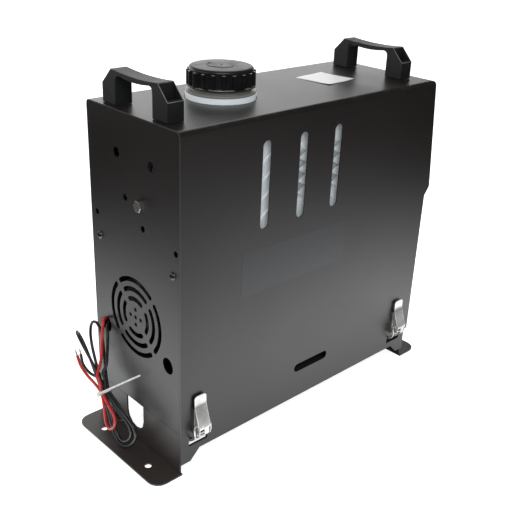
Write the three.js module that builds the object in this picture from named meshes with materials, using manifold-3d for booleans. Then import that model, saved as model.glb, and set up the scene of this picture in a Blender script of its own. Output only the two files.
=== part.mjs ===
// Diesel air heater: a folded sheet-metal case on a raised base, with the burner, its blower and
// a fuel tank inside.
// Millimetres. +Z is up, +X points to the hot-air outlet and -Y to the face with the sight slots.
// The origin is on the ground under the middle of the base.

import * as THREE from 'three';
import { mergeVertices } from 'three/addons/utils/BufferGeometryUtils.js';
import Module from 'manifold-3d';

// ---------------------------------------------------------------- driving dimensions

// Sheets and clearances.
const sheet = 1.2;
const footSheet = 2;
const seat = 0.3;
const pinPlay = 0.35;
const holePlay = 0.5;

// Case.
const caseLength = 384;
const hoodWidth = 154;
const hoodTop = 381;
const hoodBend = 5;
const hoodBottom = 25;
const tabDrop = 12.5;
const tabWidth = 13.5;
const flareReach = 14;
const flareHeight = 246;
const ledgeDrop = 11;
const lowerReach = 6;
const lowerEnd = 42;
const rimDepth = 16;

// Base and its foot brackets.
const deckHeight = 52;
const skirtBottom = 27;
const footReach = 34;
const footWidth = 156;
const footCorner = 14;
const footHoleRadius = 4;
const footHolePitch = 86;
const archWidth = 31.5;
const archOffset = 6.2;
const archBottom = 16;
const ledgeWidth = 18;

// Openings of the front face.
const sightSlotWidth = 11.5;
const sightSlotLength = 94;
const sightSlotPitch = 52.7;
const sightSlotX = -30.6;
const sightSlotZ = 308.5;
const sightSlots = 3;
const lowSlotLength = 56;
const lowSlotHeight = 10.5;
const lowSlotX = 5.3;
const lowSlotZ = 65.8;

// Blower axis and the grille in the left end panel.
const axisHeight = 162;
const grilleRings = [43, 32, 21];
const grilleHalfAngles = [38, 35, 29];
const grilleSlotWidth = 5.5;
const grilleDotRadius = 2.3;
const grilleDotCircle = 9;

// Heater unit.
const shellWidth = 115;
const shellHeight = 122;
const shellCorner = 26;
const shellWall = 2.5;
const shellSetback = 14.8;
const shellLength = 294;
const fanRadius = 43;
const fanHubRadius = 15;
const fanBlades = 11;
const fanDepth = 20;
const fanSetback = 4.8;
const shroudWall = 2.5;
const fanGap = 2.2;
const shaftRadius = 3;
const motorRadius = 29;
const motorSetback = 26;
const motorLength = 66;
const wheelRadius = 32;
const wheelDepth = 12;
const wheelVanes = 8;
const blowerHousingLength = 28;
const exchangerCore = 37;
const exchangerFins = 12;
const finRoom = 8.5;
const finThickness = 3;
const exchangerLength = 150;
const exchangerWall = 4;
const burnerRadius = 29;
const burnerLength = 70;
const ductRadius = 38;
const ductWall = 2.2;
const ductTaper = 34;
const ductStraight = 5;
const ductReach = 3;
const outletDrop = 12;

const controlWidth = 58;
const controlHeight = 18;

// Cradle below the heater and the shelf below the tank.
const cradleRoom = 5;
const cradleSetback = 12;
const cradleLength = 108;
const cradleHalfWidth = 46;
const cradleFoot = 12;
const cradleRail = 11;
const exhaustSetback = 90;
const exhaustRadius = 12;
const intakeSetback = 40;
const intakeRadius = 10;
const stubDrop = 18;
const fuelStubSetback = 65;
const fuelStubY = 18;
const fuelStubRadius = 2;

// Fuel tank.
const tankLeft = -172;
const tankRight = 122;
const tankWidth = 136;
const tankBottom = 246;
const tankTop = 374;
const tankCorner = 14;
const tankWall = 3;
const tankRib = 1.3;
const tankRibPitch = 20;
const fillerX = -73.5;
const fillerY = 6.7;
const collarRadius = 37;
const collarTop = 389;
const neckRadius = 32;
const neckBore = 27;
const shelfHalfWidth = 72;
const shelfLegWidth = 34;
const shelfLegs = [-76, 80];

// Filler cap.
const capRadius = 36.4;
const capHeight = 21;
const capLift = 2;
const capRoof = 5;
const capRibs = 20;
const capRibDepth = 1.3;
const sealThickness = 2;
const sealBore = 22;
const sealPlay = 0.7;
const threadPlay = 0.6;

// Fuel line.
const pumpRadius = 13;
const pumpLength = 62;
const pumpSetback = 8;
const pumpY = 51;
const pumpRise = 19;
const sleeveWall = 3.5;
const sleeveLength = 18;
const sleeveSetback = 9;
const filterRadius = 11;
const filterLength = 40;
const filterSetback = 34;
const filterY = 58;
const filterHeight = 172;
const hoseRadius = 4;
const spigotRadius = 2;
const hoseBore = 2.7;

// Controller in the sloping part of the right end panel.
const bezelWidth = 104;
const bezelHeight = 66;
const bezelThickness = 4;
const screenWidth = 52;
const screenHeight = 34;
const screenShift = -16;
const buttonRadius = 5;
const buttonPitch = 15;
const buttonColumn = 31;
const buttonTravel = 1.2;
const boardDepth = 16;

// Carrying handles.
const handleLength = 106;
const handleWidth = 20;
const handleHeight = 34.7;
const handleY = 3;
const handleInset = 16.2;
const handleRightInset = 26.8;
const handleBar = 5;
const handleChamfer = 15.5;
const handleLeg = 23;
const handleSag = 2;
const handleWell = 6;
const handleBoltPitch = 90;
const handleBoltRadius = 3;

// Draw latches.
const latchX = 168.1;
const latchWindowWidth = 25.3;
const latchWindowBottom = 33;
const latchWindowHeight = 11;
const latchWidth = 16;
const latchPivotZ = 51;
const latchPivotOut = 7.5;
const latchPinRadius = 1.5;
const bailRadius = 1.1;
const bailPinZ = 60;
const bailPinOut = 6;
const catchZ = 38.5;
const catchIn = 4.2;
const latchTip = 93;

// Power leads.
const leadDiameter = 3.4;
const leadGap = 0.8;
const leadSides = 6;

// ---------------------------------------------------------------- derived sizes

const caseLeft = -caseLength / 2;
const caseRight = caseLength / 2;
const hoodHalf = hoodWidth / 2;
const hoodInside = hoodHalf - sheet;
const rimHalf = hoodInside - seat;
const rimTop = hoodTop - sheet - seat;
const deckBottom = deckHeight + seat;
const deckTop = deckBottom + sheet;
const deckEnd = caseRight - footSheet - seat;
const panelInside = caseLeft + sheet;
const flareX = caseRight + flareReach;
const ledgeZ = flareHeight - ledgeDrop;
const lowerX = caseRight + lowerReach;
const shellTop = axisHeight + shellHeight / 2;
const shellBottom = axisHeight - shellHeight / 2;
const shellLeft = panelInside + shellSetback;
const shellRight = shellLeft + shellLength;
const shellLeast = Math.min(shellWidth, shellHeight) / 2;
const fanFront = panelInside + fanSetback;
const motorLeft = shellLeft + motorSetback;
const motorRight = motorLeft + motorLength;
const exchangerLeft = motorRight + blowerHousingLength;
const exchangerRight = exchangerLeft + exchangerLength;
const exchangerFin = shellLeast - finRoom;
const cradleTop = shellBottom - cradleRoom;
const cradleLeft = exchangerLeft + cradleSetback;
const cradleRight = cradleLeft + cradleLength;
const exhaustX = exchangerLeft + exhaustSetback;
const intakeX = exchangerLeft + intakeSetback;
const fuelStubX = exchangerLeft + fuelStubSetback;
const stubBottom = deckHeight - stubDrop;
const outletZ = axisHeight - outletDrop;
const pumpX = shellRight + pumpSetback;
const pumpHeight = deckTop + pumpRise;
const filterX = shellRight + filterSetback;
const shelfTop = tankBottom - seat;
const capBottom = collarTop + capLift;
const capTop = capBottom + capHeight;
const sealTop = capTop - capRoof - seat;
const sealBottom = sealTop - sealThickness;
const neckTop = sealBottom - sealPlay;

// ---------------------------------------------------------------- solids and outlines

const wasm = await Module();
wasm.setup();

// A closed three.js geometry as a solid for cutting and joining.
function solid(geometry) {
  const bare = geometry.clone();
  bare.deleteAttribute('normal');
  bare.deleteAttribute('uv');
  const merged = mergeVertices(bare, 1e-4);
  const corners = merged.index.array;
  const whole = [];
  for (let i = 0; i < corners.length; i += 3) {
    const [a, b, c] = corners.slice(i, i + 3);
    if (a !== b && b !== c && c !== a) whole.push(a, b, c);
  }
  return new wasm.Manifold(new wasm.Mesh({
    numProp: 3,
    vertProperties: new Float32Array(merged.attributes.position.array),
    triVerts: new Uint32Array(whole),
  }));
}

// A solid back as a three.js geometry.
function geometryOf(body) {
  const mesh = body.getMesh();
  const geometry = new THREE.BufferGeometry();
  geometry.setAttribute('position', new THREE.BufferAttribute(new Float32Array(mesh.vertProperties), 3));
  geometry.setIndex(new THREE.BufferAttribute(new Uint32Array(mesh.triVerts), 1));
  geometry.computeVertexNormals();
  return geometry;
}

function join(first, ...others) {
  return others.reduce((whole, other) => whole.add(other), first);
}

function cut(first, ...tools) {
  return tools.reduce((whole, tool) => whole.subtract(tool), first);
}

function box(x0, x1, y0, y1, z0, z1) {
  const geometry = new THREE.BoxGeometry(Math.abs(x1 - x0), Math.abs(y1 - y0), Math.abs(z1 - z0));
  geometry.translate((x0 + x1) / 2, (y0 + y1) / 2, (z0 + z1) / 2);
  return solid(geometry);
}

// A round bar from one point to another.
function rod(from, to, radius, sides = 10) {
  const start = new THREE.Vector3(...from);
  const end = new THREE.Vector3(...to);
  const along = end.clone().sub(start);
  const geometry = new THREE.CylinderGeometry(radius, radius, along.length(), sides);
  geometry.applyQuaternion(new THREE.Quaternion().setFromUnitVectors(
    new THREE.Vector3(0, 1, 0), along.clone().normalize()));
  geometry.translate(...start.add(end).multiplyScalar(0.5).toArray());
  return solid(geometry);
}

// Matrices that lay an outline drawn in its own x and y onto a plane of the part.
const basis = {
  x: new THREE.Matrix4().set(0, 0, 1, 0, 1, 0, 0, 0, 0, 1, 0, 0, 0, 0, 0, 1),
  y: new THREE.Matrix4().set(1, 0, 0, 0, 0, 0, -1, 0, 0, 1, 0, 0, 0, 0, 0, 1),
  z: new THREE.Matrix4(),
};

// An outline carried straight from one place to another along an axis. The outline is drawn in
// (y, z) for x, in (x, z) for y and in (x, y) for z.
function prism(axis, outline, from, to, curveSegments = 2) {
  const low = Math.min(from, to);
  const high = Math.max(from, to);
  const geometry = new THREE.ExtrudeGeometry(outline, {
    depth: high - low, bevelEnabled: false, curveSegments,
  });
  geometry.translate(0, 0, axis === 'y' ? -high : low);
  geometry.applyMatrix4(basis[axis]);
  return solid(geometry);
}

// A turned body about an axis through a point; the profile's points are [radius, place along axis].
function turned(axis, profile, centre, sides = 24) {
  const geometry = new THREE.LatheGeometry(profile.map(([r, a]) => new THREE.Vector2(r, a)), sides);
  if (axis === 'z') geometry.rotateX(Math.PI / 2);
  if (axis === 'x') geometry.rotateZ(-Math.PI / 2);
  geometry.translate(...centre);
  const body = solid(geometry);
  return body;
}

// A tube or ring whose profile closes on itself.
function ring(axis, inner, outer, from, to, centre, sides = 24) {
  const profile = [[inner, from], [outer, from], [outer, to], [inner, to], [inner, from]];
  return turned(axis, profile, centre, sides);
}

function polygon(points) {
  return new THREE.Shape(points.map(([a, b]) => new THREE.Vector2(a, b)));
}

// A rectangle with round corners about a centre.
function roundedRect(width, height, radius, a = 0, b = 0) {
  const shape = new THREE.Shape();
  const w = width / 2 - radius;
  const h = height / 2 - radius;
  shape.absarc(a + w, b + h, radius, 0, Math.PI / 2);
  shape.absarc(a - w, b + h, radius, Math.PI / 2, Math.PI);
  shape.absarc(a - w, b - h, radius, Math.PI, Math.PI * 1.5);
  shape.absarc(a + w, b - h, radius, Math.PI * 1.5, Math.PI * 2);
  return shape;
}

function circle(radius, a = 0, b = 0) {
  const shape = new THREE.Shape();
  shape.absarc(a, b, radius, 0, Math.PI * 2);
  return shape;
}

// A slot bent round a centre, with blunted ends.
function arcSlot(radius, width, middle, half, a, b) {
  const r = width / 2;
  const ends = [middle - half, middle + half];
  const along = [-1, -0.5, 0, 0.5, 1].map((t) => middle + t * half);
  const bow = (reach, angles) => angles.map((angle) => new THREE.Vector2(
    a + reach * Math.cos(angle), b + reach * Math.sin(angle)));
  const tip = (side) => bow(radius, [ends[side]]).flatMap((centre) => [0.3, -0.3].map((tilt) => {
    const turn = ends[side] + (side ? Math.PI / 2 : -Math.PI / 2) * (1 - tilt);
    return centre.clone().add(new THREE.Vector2(r * Math.cos(turn), r * Math.sin(turn)));
  }));
  return new THREE.Shape([...bow(radius + r, along), ...tip(1), ...bow(radius - r, along.reverse()),
    ...tip(0).reverse()]);
}

// The cross-section of an upside-down U of sheet: half its width, its top, its bottom, the outer
// bend radius and the sheet's thickness.
function channelOutline(half, top, bottom, radius, thickness) {
  const shape = new THREE.Shape();
  const inner = Math.max(radius - thickness, 0.2);
  const h = half - thickness;
  const t = top - thickness;
  shape.moveTo(-half, bottom);
  shape.lineTo(-h, bottom);
  shape.lineTo(-h, t - inner);
  shape.absarc(-h + inner, t - inner, inner, Math.PI, Math.PI / 2, true);
  shape.absarc(h - inner, t - inner, inner, Math.PI / 2, 0, true);
  shape.lineTo(h, bottom);
  shape.lineTo(half, bottom);
  shape.absarc(half - radius, top - radius, radius, 0, Math.PI / 2);
  shape.absarc(-half + radius, top - radius, radius, Math.PI / 2, Math.PI);
  return shape;
}

// A strip of sheet seen edge on: the points of its outer face, and the same line moved inwards,
// to the left of the way the points run.
function bandOutline(points, thickness) {
  const inner = points.map(([a, b], i) => {
    const before = points[Math.max(i - 1, 0)];
    const after = points[Math.min(i + 1, points.length - 1)];
    const into = new THREE.Vector2(a - before[0], b - before[1]).normalize();
    const out = new THREE.Vector2(after[0] - a, after[1] - b).normalize();
    if (into.length() === 0) into.copy(out);
    if (out.length() === 0) out.copy(into);
    const mitre = into.clone().add(out).normalize();
    const reach = thickness / Math.max(mitre.dot(out), 0.3);
    return [a - mitre.y * reach, b + mitre.x * reach];
  });
  return polygon([...points, ...inner.reverse()]);
}

// A round wire or hose along a curve, with its ends square to the curve.
function tubeGeometry(curve, radius, steps, sides) {
  const shape = new THREE.Shape();
  for (let i = 0; i < sides; i += 1) {
    const angle = (2 * Math.PI * i) / sides;
    shape[i ? 'lineTo' : 'moveTo'](radius * Math.cos(angle), radius * Math.sin(angle));
  }
  return new THREE.ExtrudeGeometry(shape, { steps, bevelEnabled: false, extrudePath: curve });
}

function smooth(points) {
  return new THREE.CatmullRomCurve3(points.map((p) => new THREE.Vector3(...p)), false, 'centripetal');
}

// ---------------------------------------------------------------- finishes and naming

function finish(color, metalness, roughness, extra = {}) {
  return () => new THREE.MeshStandardMaterial({ color, metalness, roughness, ...extra });
}

const finishes = {
  coat: finish(0x1c1d1e, 0.1, 0.42),
  coatFoot: finish(0x222324, 0.1, 0.5),
  zinc: finish(0xc9cbcc, 0.95, 0.28),
  steel: finish(0x9a9c9e, 0.9, 0.4),
  castAluminium: finish(0xa4a6a8, 0.85, 0.5),
  blackPlastic: finish(0x161617, 0, 0.5),
  greyPlastic: finish(0x4a4c4f, 0, 0.55),
  tankPlastic: finish(0xdfe6ea, 0, 0.4),
  glass: finish(0x20343a, 0, 0.1),
  rubber: finish(0x121212, 0, 0.85),
  clearPlastic: finish(0xd8dcd8, 0, 0.2),
  gasket: finish(0x6b6458, 0, 0.9),
  brass: finish(0xb8964a, 0.9, 0.35),
  redWire: finish(0xb3322b, 0, 0.45),
  blackWire: finish(0x1a1a1c, 0, 0.5),
  whitePlastic: finish(0xeeeeea, 0, 0.4),
};

const heater = new THREE.Group();

function place(parent, name, shape, material) {
  const geometry = shape.isBufferGeometry ? shape : geometryOf(shape);
  const mesh = new THREE.Mesh(geometry, finishes[material]());
  mesh.name = name;
  parent.add(mesh);
  return mesh;
}

// ---------------------------------------------------------------- base

const skirtOuter = rimHalf;

// The keeper that a latch's bail hooks under: an opening in the skirt whose middle tongue is bent
// inwards. side is -1 at the front and 1 at the back.
const keeperHalf = latchWidth / 2 - 1;
const keeperUnder = catchZ + bailRadius + pinPlay;
const keeperWindowHalf = latchWidth / 2 + 4 * bailRadius;

function keeperOpening(x, side) {
  const outer = side * (skirtOuter + 1);
  const inner = side * (skirtOuter - sheet - 1);
  const low = box(x - keeperWindowHalf, x + keeperWindowHalf, outer, inner, latchWindowBottom, keeperUnder);
  const left = box(x - keeperWindowHalf, x - keeperHalf, outer, inner, keeperUnder - 1, keeperUnder + 6);
  const right = box(x + keeperHalf, x + keeperWindowHalf, outer, inner, keeperUnder - 1, keeperUnder + 6);
  return join(low, left, right);
}

function keeperTongue(x, side) {
  const outer = side * skirtOuter;
  const inner = side * (hoodHalf - catchIn - 6);
  return box(x - keeperHalf, x + keeperHalf, outer, inner, keeperUnder, keeperUnder + sheet);
}

function baseTray() {
  const outline = channelOutline(skirtOuter, deckTop, skirtBottom, hoodBend - sheet, sheet);
  let tray = prism('x', outline, -deckEnd, deckEnd, 1);
  for (const side of [-1, 1]) {
    for (const x of [-latchX, latchX]) {
      tray = cut(tray, keeperOpening(x, side)).add(keeperTongue(x, side));
    }
  }
  const through = (x, y, radius) => rod([x, y, deckBottom - 2], [x, y, deckTop + 2], radius, 10);
  tray = cut(tray,
    through(exhaustX, 0, exhaustRadius + 2),
    through(intakeX, 0, intakeRadius + 2));
  return cut(tray, ...bracketBoltPlaces().map(([x, y]) => through(x, y, 3 + holePlay)));
}

// ---------------------------------------------------------------- foot brackets

const bracketBoltY = 52;
const bracketBoltRadius = 3;

function bracketBoltPlaces() {
  const x = caseRight - footSheet - ledgeWidth / 2;
  return [[-x, -bracketBoltY], [-x, bracketBoltY], [x, -bracketBoltY], [x, bracketBoltY]];
}

// The foot flange seen from above, with its two outer corners rounded. side is -1 or 1.
function footOutline(side) {
  const half = footWidth / 2;
  const turn = caseRight + footReach - footCorner;
  const corner = half - footCorner;
  const shape = new THREE.Shape();
  shape.moveTo(side * (caseRight - footSheet), -side * half);
  shape.lineTo(side * turn, -side * half);
  const start = side > 0 ? 0 : Math.PI;
  shape.absarc(side * turn, -side * corner, footCorner, start - Math.PI / 2, start);
  shape.absarc(side * turn, side * corner, footCorner, start, start + Math.PI / 2);
  shape.lineTo(side * (caseRight - footSheet), side * half);
  return shape;
}

// side is -1 for the left foot and 1 for the right one.
function footBracket(side) {
  const face = side * caseRight;
  const ledgeEnd = side * (caseRight - footSheet - ledgeWidth);
  const wall = box(face, side * (caseRight - footSheet), -rimHalf, rimHalf, 0, deckHeight);
  const foot = prism('z', footOutline(side), 0, footSheet, 2);
  const ledge = box(face, ledgeEnd, -rimHalf + 6, rimHalf - 6, deckHeight - footSheet, deckHeight);
  const archHalf = archWidth / 2;
  const arch = new THREE.Shape();
  arch.moveTo(archOffset + archHalf, deckHeight + 1);
  arch.lineTo(archOffset - archHalf, deckHeight + 1);
  arch.absarc(archOffset, archBottom + archHalf, archHalf, Math.PI, Math.PI * 2);
  const footHoleX = side * (caseRight + footReach * 0.54);
  return cut(join(wall, foot, ledge),
    prism('x', arch, side * (caseRight + 1), ledgeEnd - side, 3),
    ...[-1, 1].map((s) => rod([footHoleX, s * footHolePitch / 2, -1],
      [footHoleX, s * footHolePitch / 2, footSheet + 1], footHoleRadius, 10)))
    .add(bracketBolts(side));
}

// The two bolts that are fixed in a bracket's ledge: they stand up through the deck into a nut.
function bracketBolts(side) {
  const nutBottom = deckTop + seat;
  const own = bracketBoltPlaces().filter(([x]) => Math.sign(x) === side);
  return join(...own.map(([x, y]) => join(
    rod([x, y, nutBottom], [x, y, nutBottom + 4], bracketBoltRadius * 1.8, 6),
    rod([x, y, deckHeight - footSheet - 2.5], [x, y, nutBottom + 6], bracketBoltRadius, 6),
    rod([x, y, deckHeight - footSheet - 2.5], [x, y, deckHeight - 1], bracketBoltRadius * 1.7, 8))));
}

// ---------------------------------------------------------------- hood

// The front panel's outline in (x, z). The right edge leans out to the controller's ledge, steps
// back and runs down; a tab at each end reaches lower than the rest.
function hoodSideOutline() {
  const tabEnd = tabWidth + (hoodBottom - tabDrop);
  const corner = hoodBend - 1;
  const shape = new THREE.Shape();
  shape.moveTo(caseLeft, tabDrop);
  shape.lineTo(caseLeft + tabWidth, tabDrop);
  shape.lineTo(caseLeft + tabEnd, hoodBottom);
  shape.lineTo(caseRight - tabEnd, hoodBottom);
  shape.lineTo(caseRight - tabWidth, tabDrop);
  shape.lineTo(caseRight, tabDrop);
  shape.lineTo(caseRight, lowerEnd);
  shape.absarc(lowerX - 3, lowerEnd + 3, 3, -Math.PI / 2, 0);
  shape.lineTo(lowerX, ledgeZ);
  shape.lineTo(flareX, flareHeight);
  shape.lineTo(caseRight, hoodTop - corner);
  shape.absarc(caseRight - corner, hoodTop - corner, corner, 0, Math.PI / 2);
  shape.lineTo(caseLeft, hoodTop);
  return shape;
}

function handlePlaces() {
  return [caseLeft + handleInset, caseRight - handleRightInset];
}

function handleBoltPlaces() {
  return handlePlaces().flatMap((x) => [-1, 1].map((s) => [x, handleY + s * handleBoltPitch / 2]));
}

function latchWindow(x, side) {
  const z = latchWindowBottom + latchWindowHeight / 2;
  return prism('y', roundedRect(latchWindowWidth, latchWindowHeight, 1, x, z),
    side * (hoodHalf + 2), side * (hoodInside - 2), 1);
}

function hoodWrap() {
  const section = channelOutline(hoodHalf, hoodTop, tabDrop - 1, hoodBend, sheet);
  const wrap = prism('x', section, caseLeft, flareX, 2)
    .intersect(prism('y', hoodSideOutline(), -hoodHalf - 5, hoodHalf + 5, 2));
  const front = (outline) => prism('y', outline, -hoodHalf - 2, -hoodInside + 2, 2);
  const slots = Array.from({ length: sightSlots }, (_, i) => sightSlotX + (i - (sightSlots - 1) / 2)
    * sightSlotPitch).map((x) => front(
    roundedRect(sightSlotWidth, sightSlotLength, sightSlotWidth / 2 - 0.01, x, sightSlotZ)));
  const windows = [-1, 1].flatMap((side) => [-latchX, latchX].map((x) => latchWindow(x, side)));
  const through = (x, y, radius, sides) => rod([x, y, hoodTop - 6], [x, y, hoodTop + 2], radius, sides);
  return cut(wrap, ...slots, ...windows,
    front(roundedRect(lowSlotLength, lowSlotHeight, 2, lowSlotX, lowSlotZ)),
    through(fillerX, fillerY, collarRadius + 1.2, 28),
    ...handleBoltPlaces().map(([x, y]) => through(x, y, handleBoltRadius + holePlay, 8)));
}

// ---------------------------------------------------------------- left end panel

const cableHoleY = shellWidth / 2 - 0.5;
const cableHoleZ = 131;
const cableHoleRadius = 5;
const cableHoleSplit = 6.4;
const endBoltY = -14.3;
const endBoltZ = 292.7;
const endBoltRadius = 4;
const leftScrews = [[62, 236], [-65, 235.5]];
const leftHoles = [[25.5, 337.5, 5.3], [-32.5, 337, 5.3], [12.5, 293.8, 3.7], [-16.8, 268.7, 3.5],
  [66, 262, 3.2], [-70, 260.5, 3.2]];
const screwRadius = 2;

function grilleSlots(y) {
  const quarter = Math.PI / 2;
  const slots = grilleRings.flatMap((radius, i) => [0, 1, 2, 3].map((n) => arcSlot(
    radius, grilleSlotWidth, n * quarter, THREE.MathUtils.degToRad(grilleHalfAngles[i]), y, axisHeight)));
  const dots = [[0, 0], [1, 0], [0, 1], [-1, 0], [0, -1]].map(([a, b]) => circle(
    grilleDotRadius, y + a * grilleDotCircle, axisHeight + b * grilleDotCircle));
  return [...slots, ...dots];
}

// The rim of an end panel that lies inside the hood, as a cross-section in (y, z).
function rimOutline(bottom) {
  return channelOutline(rimHalf, rimTop, bottom, hoodBend - sheet - seat, sheet);
}

function panelOutline(bottom) {
  const shape = new THREE.Shape();
  const radius = hoodBend - sheet - seat;
  shape.moveTo(-rimHalf, bottom);
  shape.lineTo(rimHalf, bottom);
  shape.absarc(rimHalf - radius, rimTop - radius, radius, 0, Math.PI / 2);
  shape.absarc(-rimHalf + radius, rimTop - radius, radius, Math.PI / 2, Math.PI);
  return shape;
}

function leftPanel() {
  const rimBottom = deckTop + seat;
  const wall = join(
    prism('x', panelOutline(deckHeight + seat), caseLeft, panelInside),
    prism('x', rimOutline(rimBottom), caseLeft + sheet / 2, caseLeft + rimDepth));
  const through = (outline) => prism('x', outline, caseLeft - 1, panelInside + 1, 2);
  const round = ([y, z, radius]) => rod([caseLeft - 1, y, z], [panelInside + 1, y, z], radius, 10);
  const cable = [-1, 1].flatMap((side) => [-1, 1].map((up) => round(
    [side * cableHoleY, cableHoleZ + up * cableHoleSplit / 2, cableHoleRadius])));
  const bolts = handleBoltPlaces().filter(([x]) => x < 0).map(([x, y]) => rod([x, y, rimTop - 2 * sheet],
    [x, y, rimTop + 1], handleBoltRadius + holePlay, 10));
  return cut(wall, ...grilleSlots(0).map(through), ...leftHoles.map(round), ...cable, ...bolts)
    .add(endBolt()).add(panelScrews(leftScrews, caseLeft, -1));
}

// A hexagon bolt in the left end panel with its nut inside.
function endBolt() {
  const at = (x) => [x, endBoltY, endBoltZ];
  return join(
    rod(at(caseLeft - 5.3), at(caseLeft + 0.5), endBoltRadius * 1.8, 6),
    rod(at(caseLeft - 1), at(panelInside + 9), endBoltRadius, 8),
    rod(at(panelInside - 0.5), at(panelInside + 6), endBoltRadius * 1.8, 6));
}

// Pan-head screws in a panel whose outer face looks one way along X.
function panelScrews(places, face, way) {
  return join(...places.map(([y, z]) => {
    const at = (out) => [face + way * out, y, z];
    return join(rod(at(-0.5), at(2), screwRadius * 2.2, 8), rod(at(-8), at(1), screwRadius, 6));
  }));
}

// ---------------------------------------------------------------- right end panel

const slopeLean = Math.atan2(flareReach, rimTop - flareHeight);
const slopeMiddle = 0.46;

// The frame of the sloping part: x across the panel, y up the slope and z out of it.
function slopeMatrix() {
  const up = new THREE.Vector3(-Math.sin(slopeLean), 0, Math.cos(slopeLean));
  const out = new THREE.Vector3(Math.cos(slopeLean), 0, Math.sin(slopeLean));
  const matrix = new THREE.Matrix4().makeBasis(new THREE.Vector3(0, 1, 0), up, out);
  matrix.setPosition(flareX - seat - slopeMiddle * flareReach, 0,
    flareHeight + slopeMiddle * (rimTop - flareHeight));
  return matrix;
}

const outletPlay = 0.6;
const rightScrews = [[-62, 226], [62, 226], [-62, 66], [62, 66]];

// The right panel's outer face from the bottom up, in (x, z).
function rightFace() {
  return [[caseRight + seat, lowerEnd + seat], [lowerX - seat, lowerEnd + seat], [lowerX - seat, ledgeZ],
    [flareX - seat, flareHeight], [caseRight - seat, rimTop]];
}

function rightPanel() {
  const face = rightFace();
  const wall = prism('y', bandOutline(face, sheet), -rimHalf, rimHalf)
    .intersect(prism('x', panelOutline(lowerEnd), caseRight - rimDepth, flareX));
  const rimPoints = [[lowerX - seat, deckTop + seat], ...face.slice(2)];
  const rim = prism('y', bandOutline(rimPoints, rimDepth), -rimHalf, rimHalf)
    .intersect(prism('x', rimOutline(deckTop + seat), caseRight - 2 * rimDepth, flareX));
  const window = prism('z', roundedRect(bezelWidth - 12, bezelHeight - 10, 3), -4, 4, 1);
  const outlet = rod([caseRight - 4, 0, outletZ], [flareX + 4, 0, outletZ],
    ductRadius + ductWall + outletPlay, 24);
  return cut(wall.add(rim), window.transform(slopeMatrix().toArray()), outlet)
    .add(panelScrews(rightScrews, lowerX - seat, 1));
}

// ---------------------------------------------------------------- fuel tank and its shelf

// Raised chevrons on the tank's front, seen through the sight slots.
function tankRibs() {
  const face = -tankWidth / 2;
  const half = tankRibPitch * 1.05;
  const low = tankBottom + tankCorner;
  const high = tankTop - tankCorner;
  const middle = (tankLeft + tankRight) / 2;
  const count = Math.floor((tankRight - tankLeft - 2 * tankCorner - 2 * half) / (2 * half));
  const ribs = [];
  for (let i = 0; i < count; i += 1) {
    const x = middle + (i - (count - 1) / 2) * 2 * half;
    for (let z = low; z + half + 4 < high; z += tankRibPitch) {
      const chevron = polygon([[x - half, z], [x, z + half * 0.8], [x + half, z],
        [x + half, z + 4], [x, z + half * 0.8 + 4], [x - half, z + 4]]);
      ribs.push(prism('y', chevron, face - tankRib, face + tankWall / 2));
    }
  }
  return ribs.reduce((all, rib) => all.add(rib));
}

const pickupY = -30;
const pickupZ = tankBottom + 16;
const pickupRadius = 5;

function tank() {
  const width = tankRight - tankLeft;
  const middle = (tankLeft + tankRight) / 2;
  const outline = roundedRect(width, tankWidth, tankCorner, middle, 0);
  const hollow = roundedRect(width - 2 * tankWall, tankWidth - 2 * tankWall, tankCorner - tankWall,
    middle, 0);
  const neck = turned('z', [[0, tankTop - 1], [collarRadius, tankTop - 1], [collarRadius, collarTop - 5],
    [collarRadius - 1.2, collarTop - 4], [collarRadius - 1.2, collarTop - 3], [collarRadius, collarTop - 2],
    [collarRadius, collarTop], [neckRadius, collarTop], [neckRadius, neckTop], [0, neckTop]],
  [fillerX, fillerY, 0], 32);
  return cut(
    join(prism('z', outline, tankBottom, tankTop, 2), neck, tankRibs()),
    prism('z', hollow, tankBottom + tankWall, tankTop - tankWall, 2),
    rod([fillerX, fillerY, tankTop - tankWall - 1], [fillerX, fillerY, neckTop + 1], neckBore, 24),
    rod([tankRight - 2 * tankWall, pickupY, pickupZ], [tankRight + 1, pickupY, pickupZ],
      pickupRadius + seat, 12));
}

// The outlet fitting of the tank, with a spigot for the hose.
function fuelPickup() {
  const at = (x) => [x, pickupY, pickupZ];
  const stop = tankRight + seat;
  return cut(
    join(rod(at(tankRight - tankWall - 8), at(stop + 1), pickupRadius, 12),
      rod(at(stop), at(stop + 4), pickupRadius * 1.5, 6),
      rod(at(stop + 3), at(stop + 12), spigotRadius, 8)),
    rod(at(tankRight - tankWall - 9), at(stop + 13), spigotRadius / 2, 6));
}

// A table of sheet that stands on the deck and carries the tank above the heater.
function tankShelf() {
  const section = channelOutline(shelfHalfWidth, shelfTop, deckTop + seat, hoodBend - sheet, sheet);
  const left = tankLeft + tankCorner;
  const right = tankRight - tankCorner / 2;
  let table = prism('x', section, left, right, 1);
  const legs = shelfLegs.map((x) => [x - shelfLegWidth / 2, x + shelfLegWidth / 2]);
  const gaps = [[left - 1, legs[0][0]], [legs[0][1], legs[1][0]], [legs[1][1], right + 1]];
  for (const [from, to] of gaps) {
    table = table.subtract(box(from, to, -hoodHalf, hoodHalf, deckTop - 1, shelfTop - 14));
  }
  for (const [from, to] of legs) {
    for (const side of [-1, 1]) {
      table = table.add(box(from, to, side * (shelfHalfWidth - 10), side * (shelfHalfWidth - sheet / 2),
        deckTop + seat, deckTop + seat + sheet));
    }
  }
  return table;
}

// ---------------------------------------------------------------- filler cap

const capBore = neckRadius + threadPlay;

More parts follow.
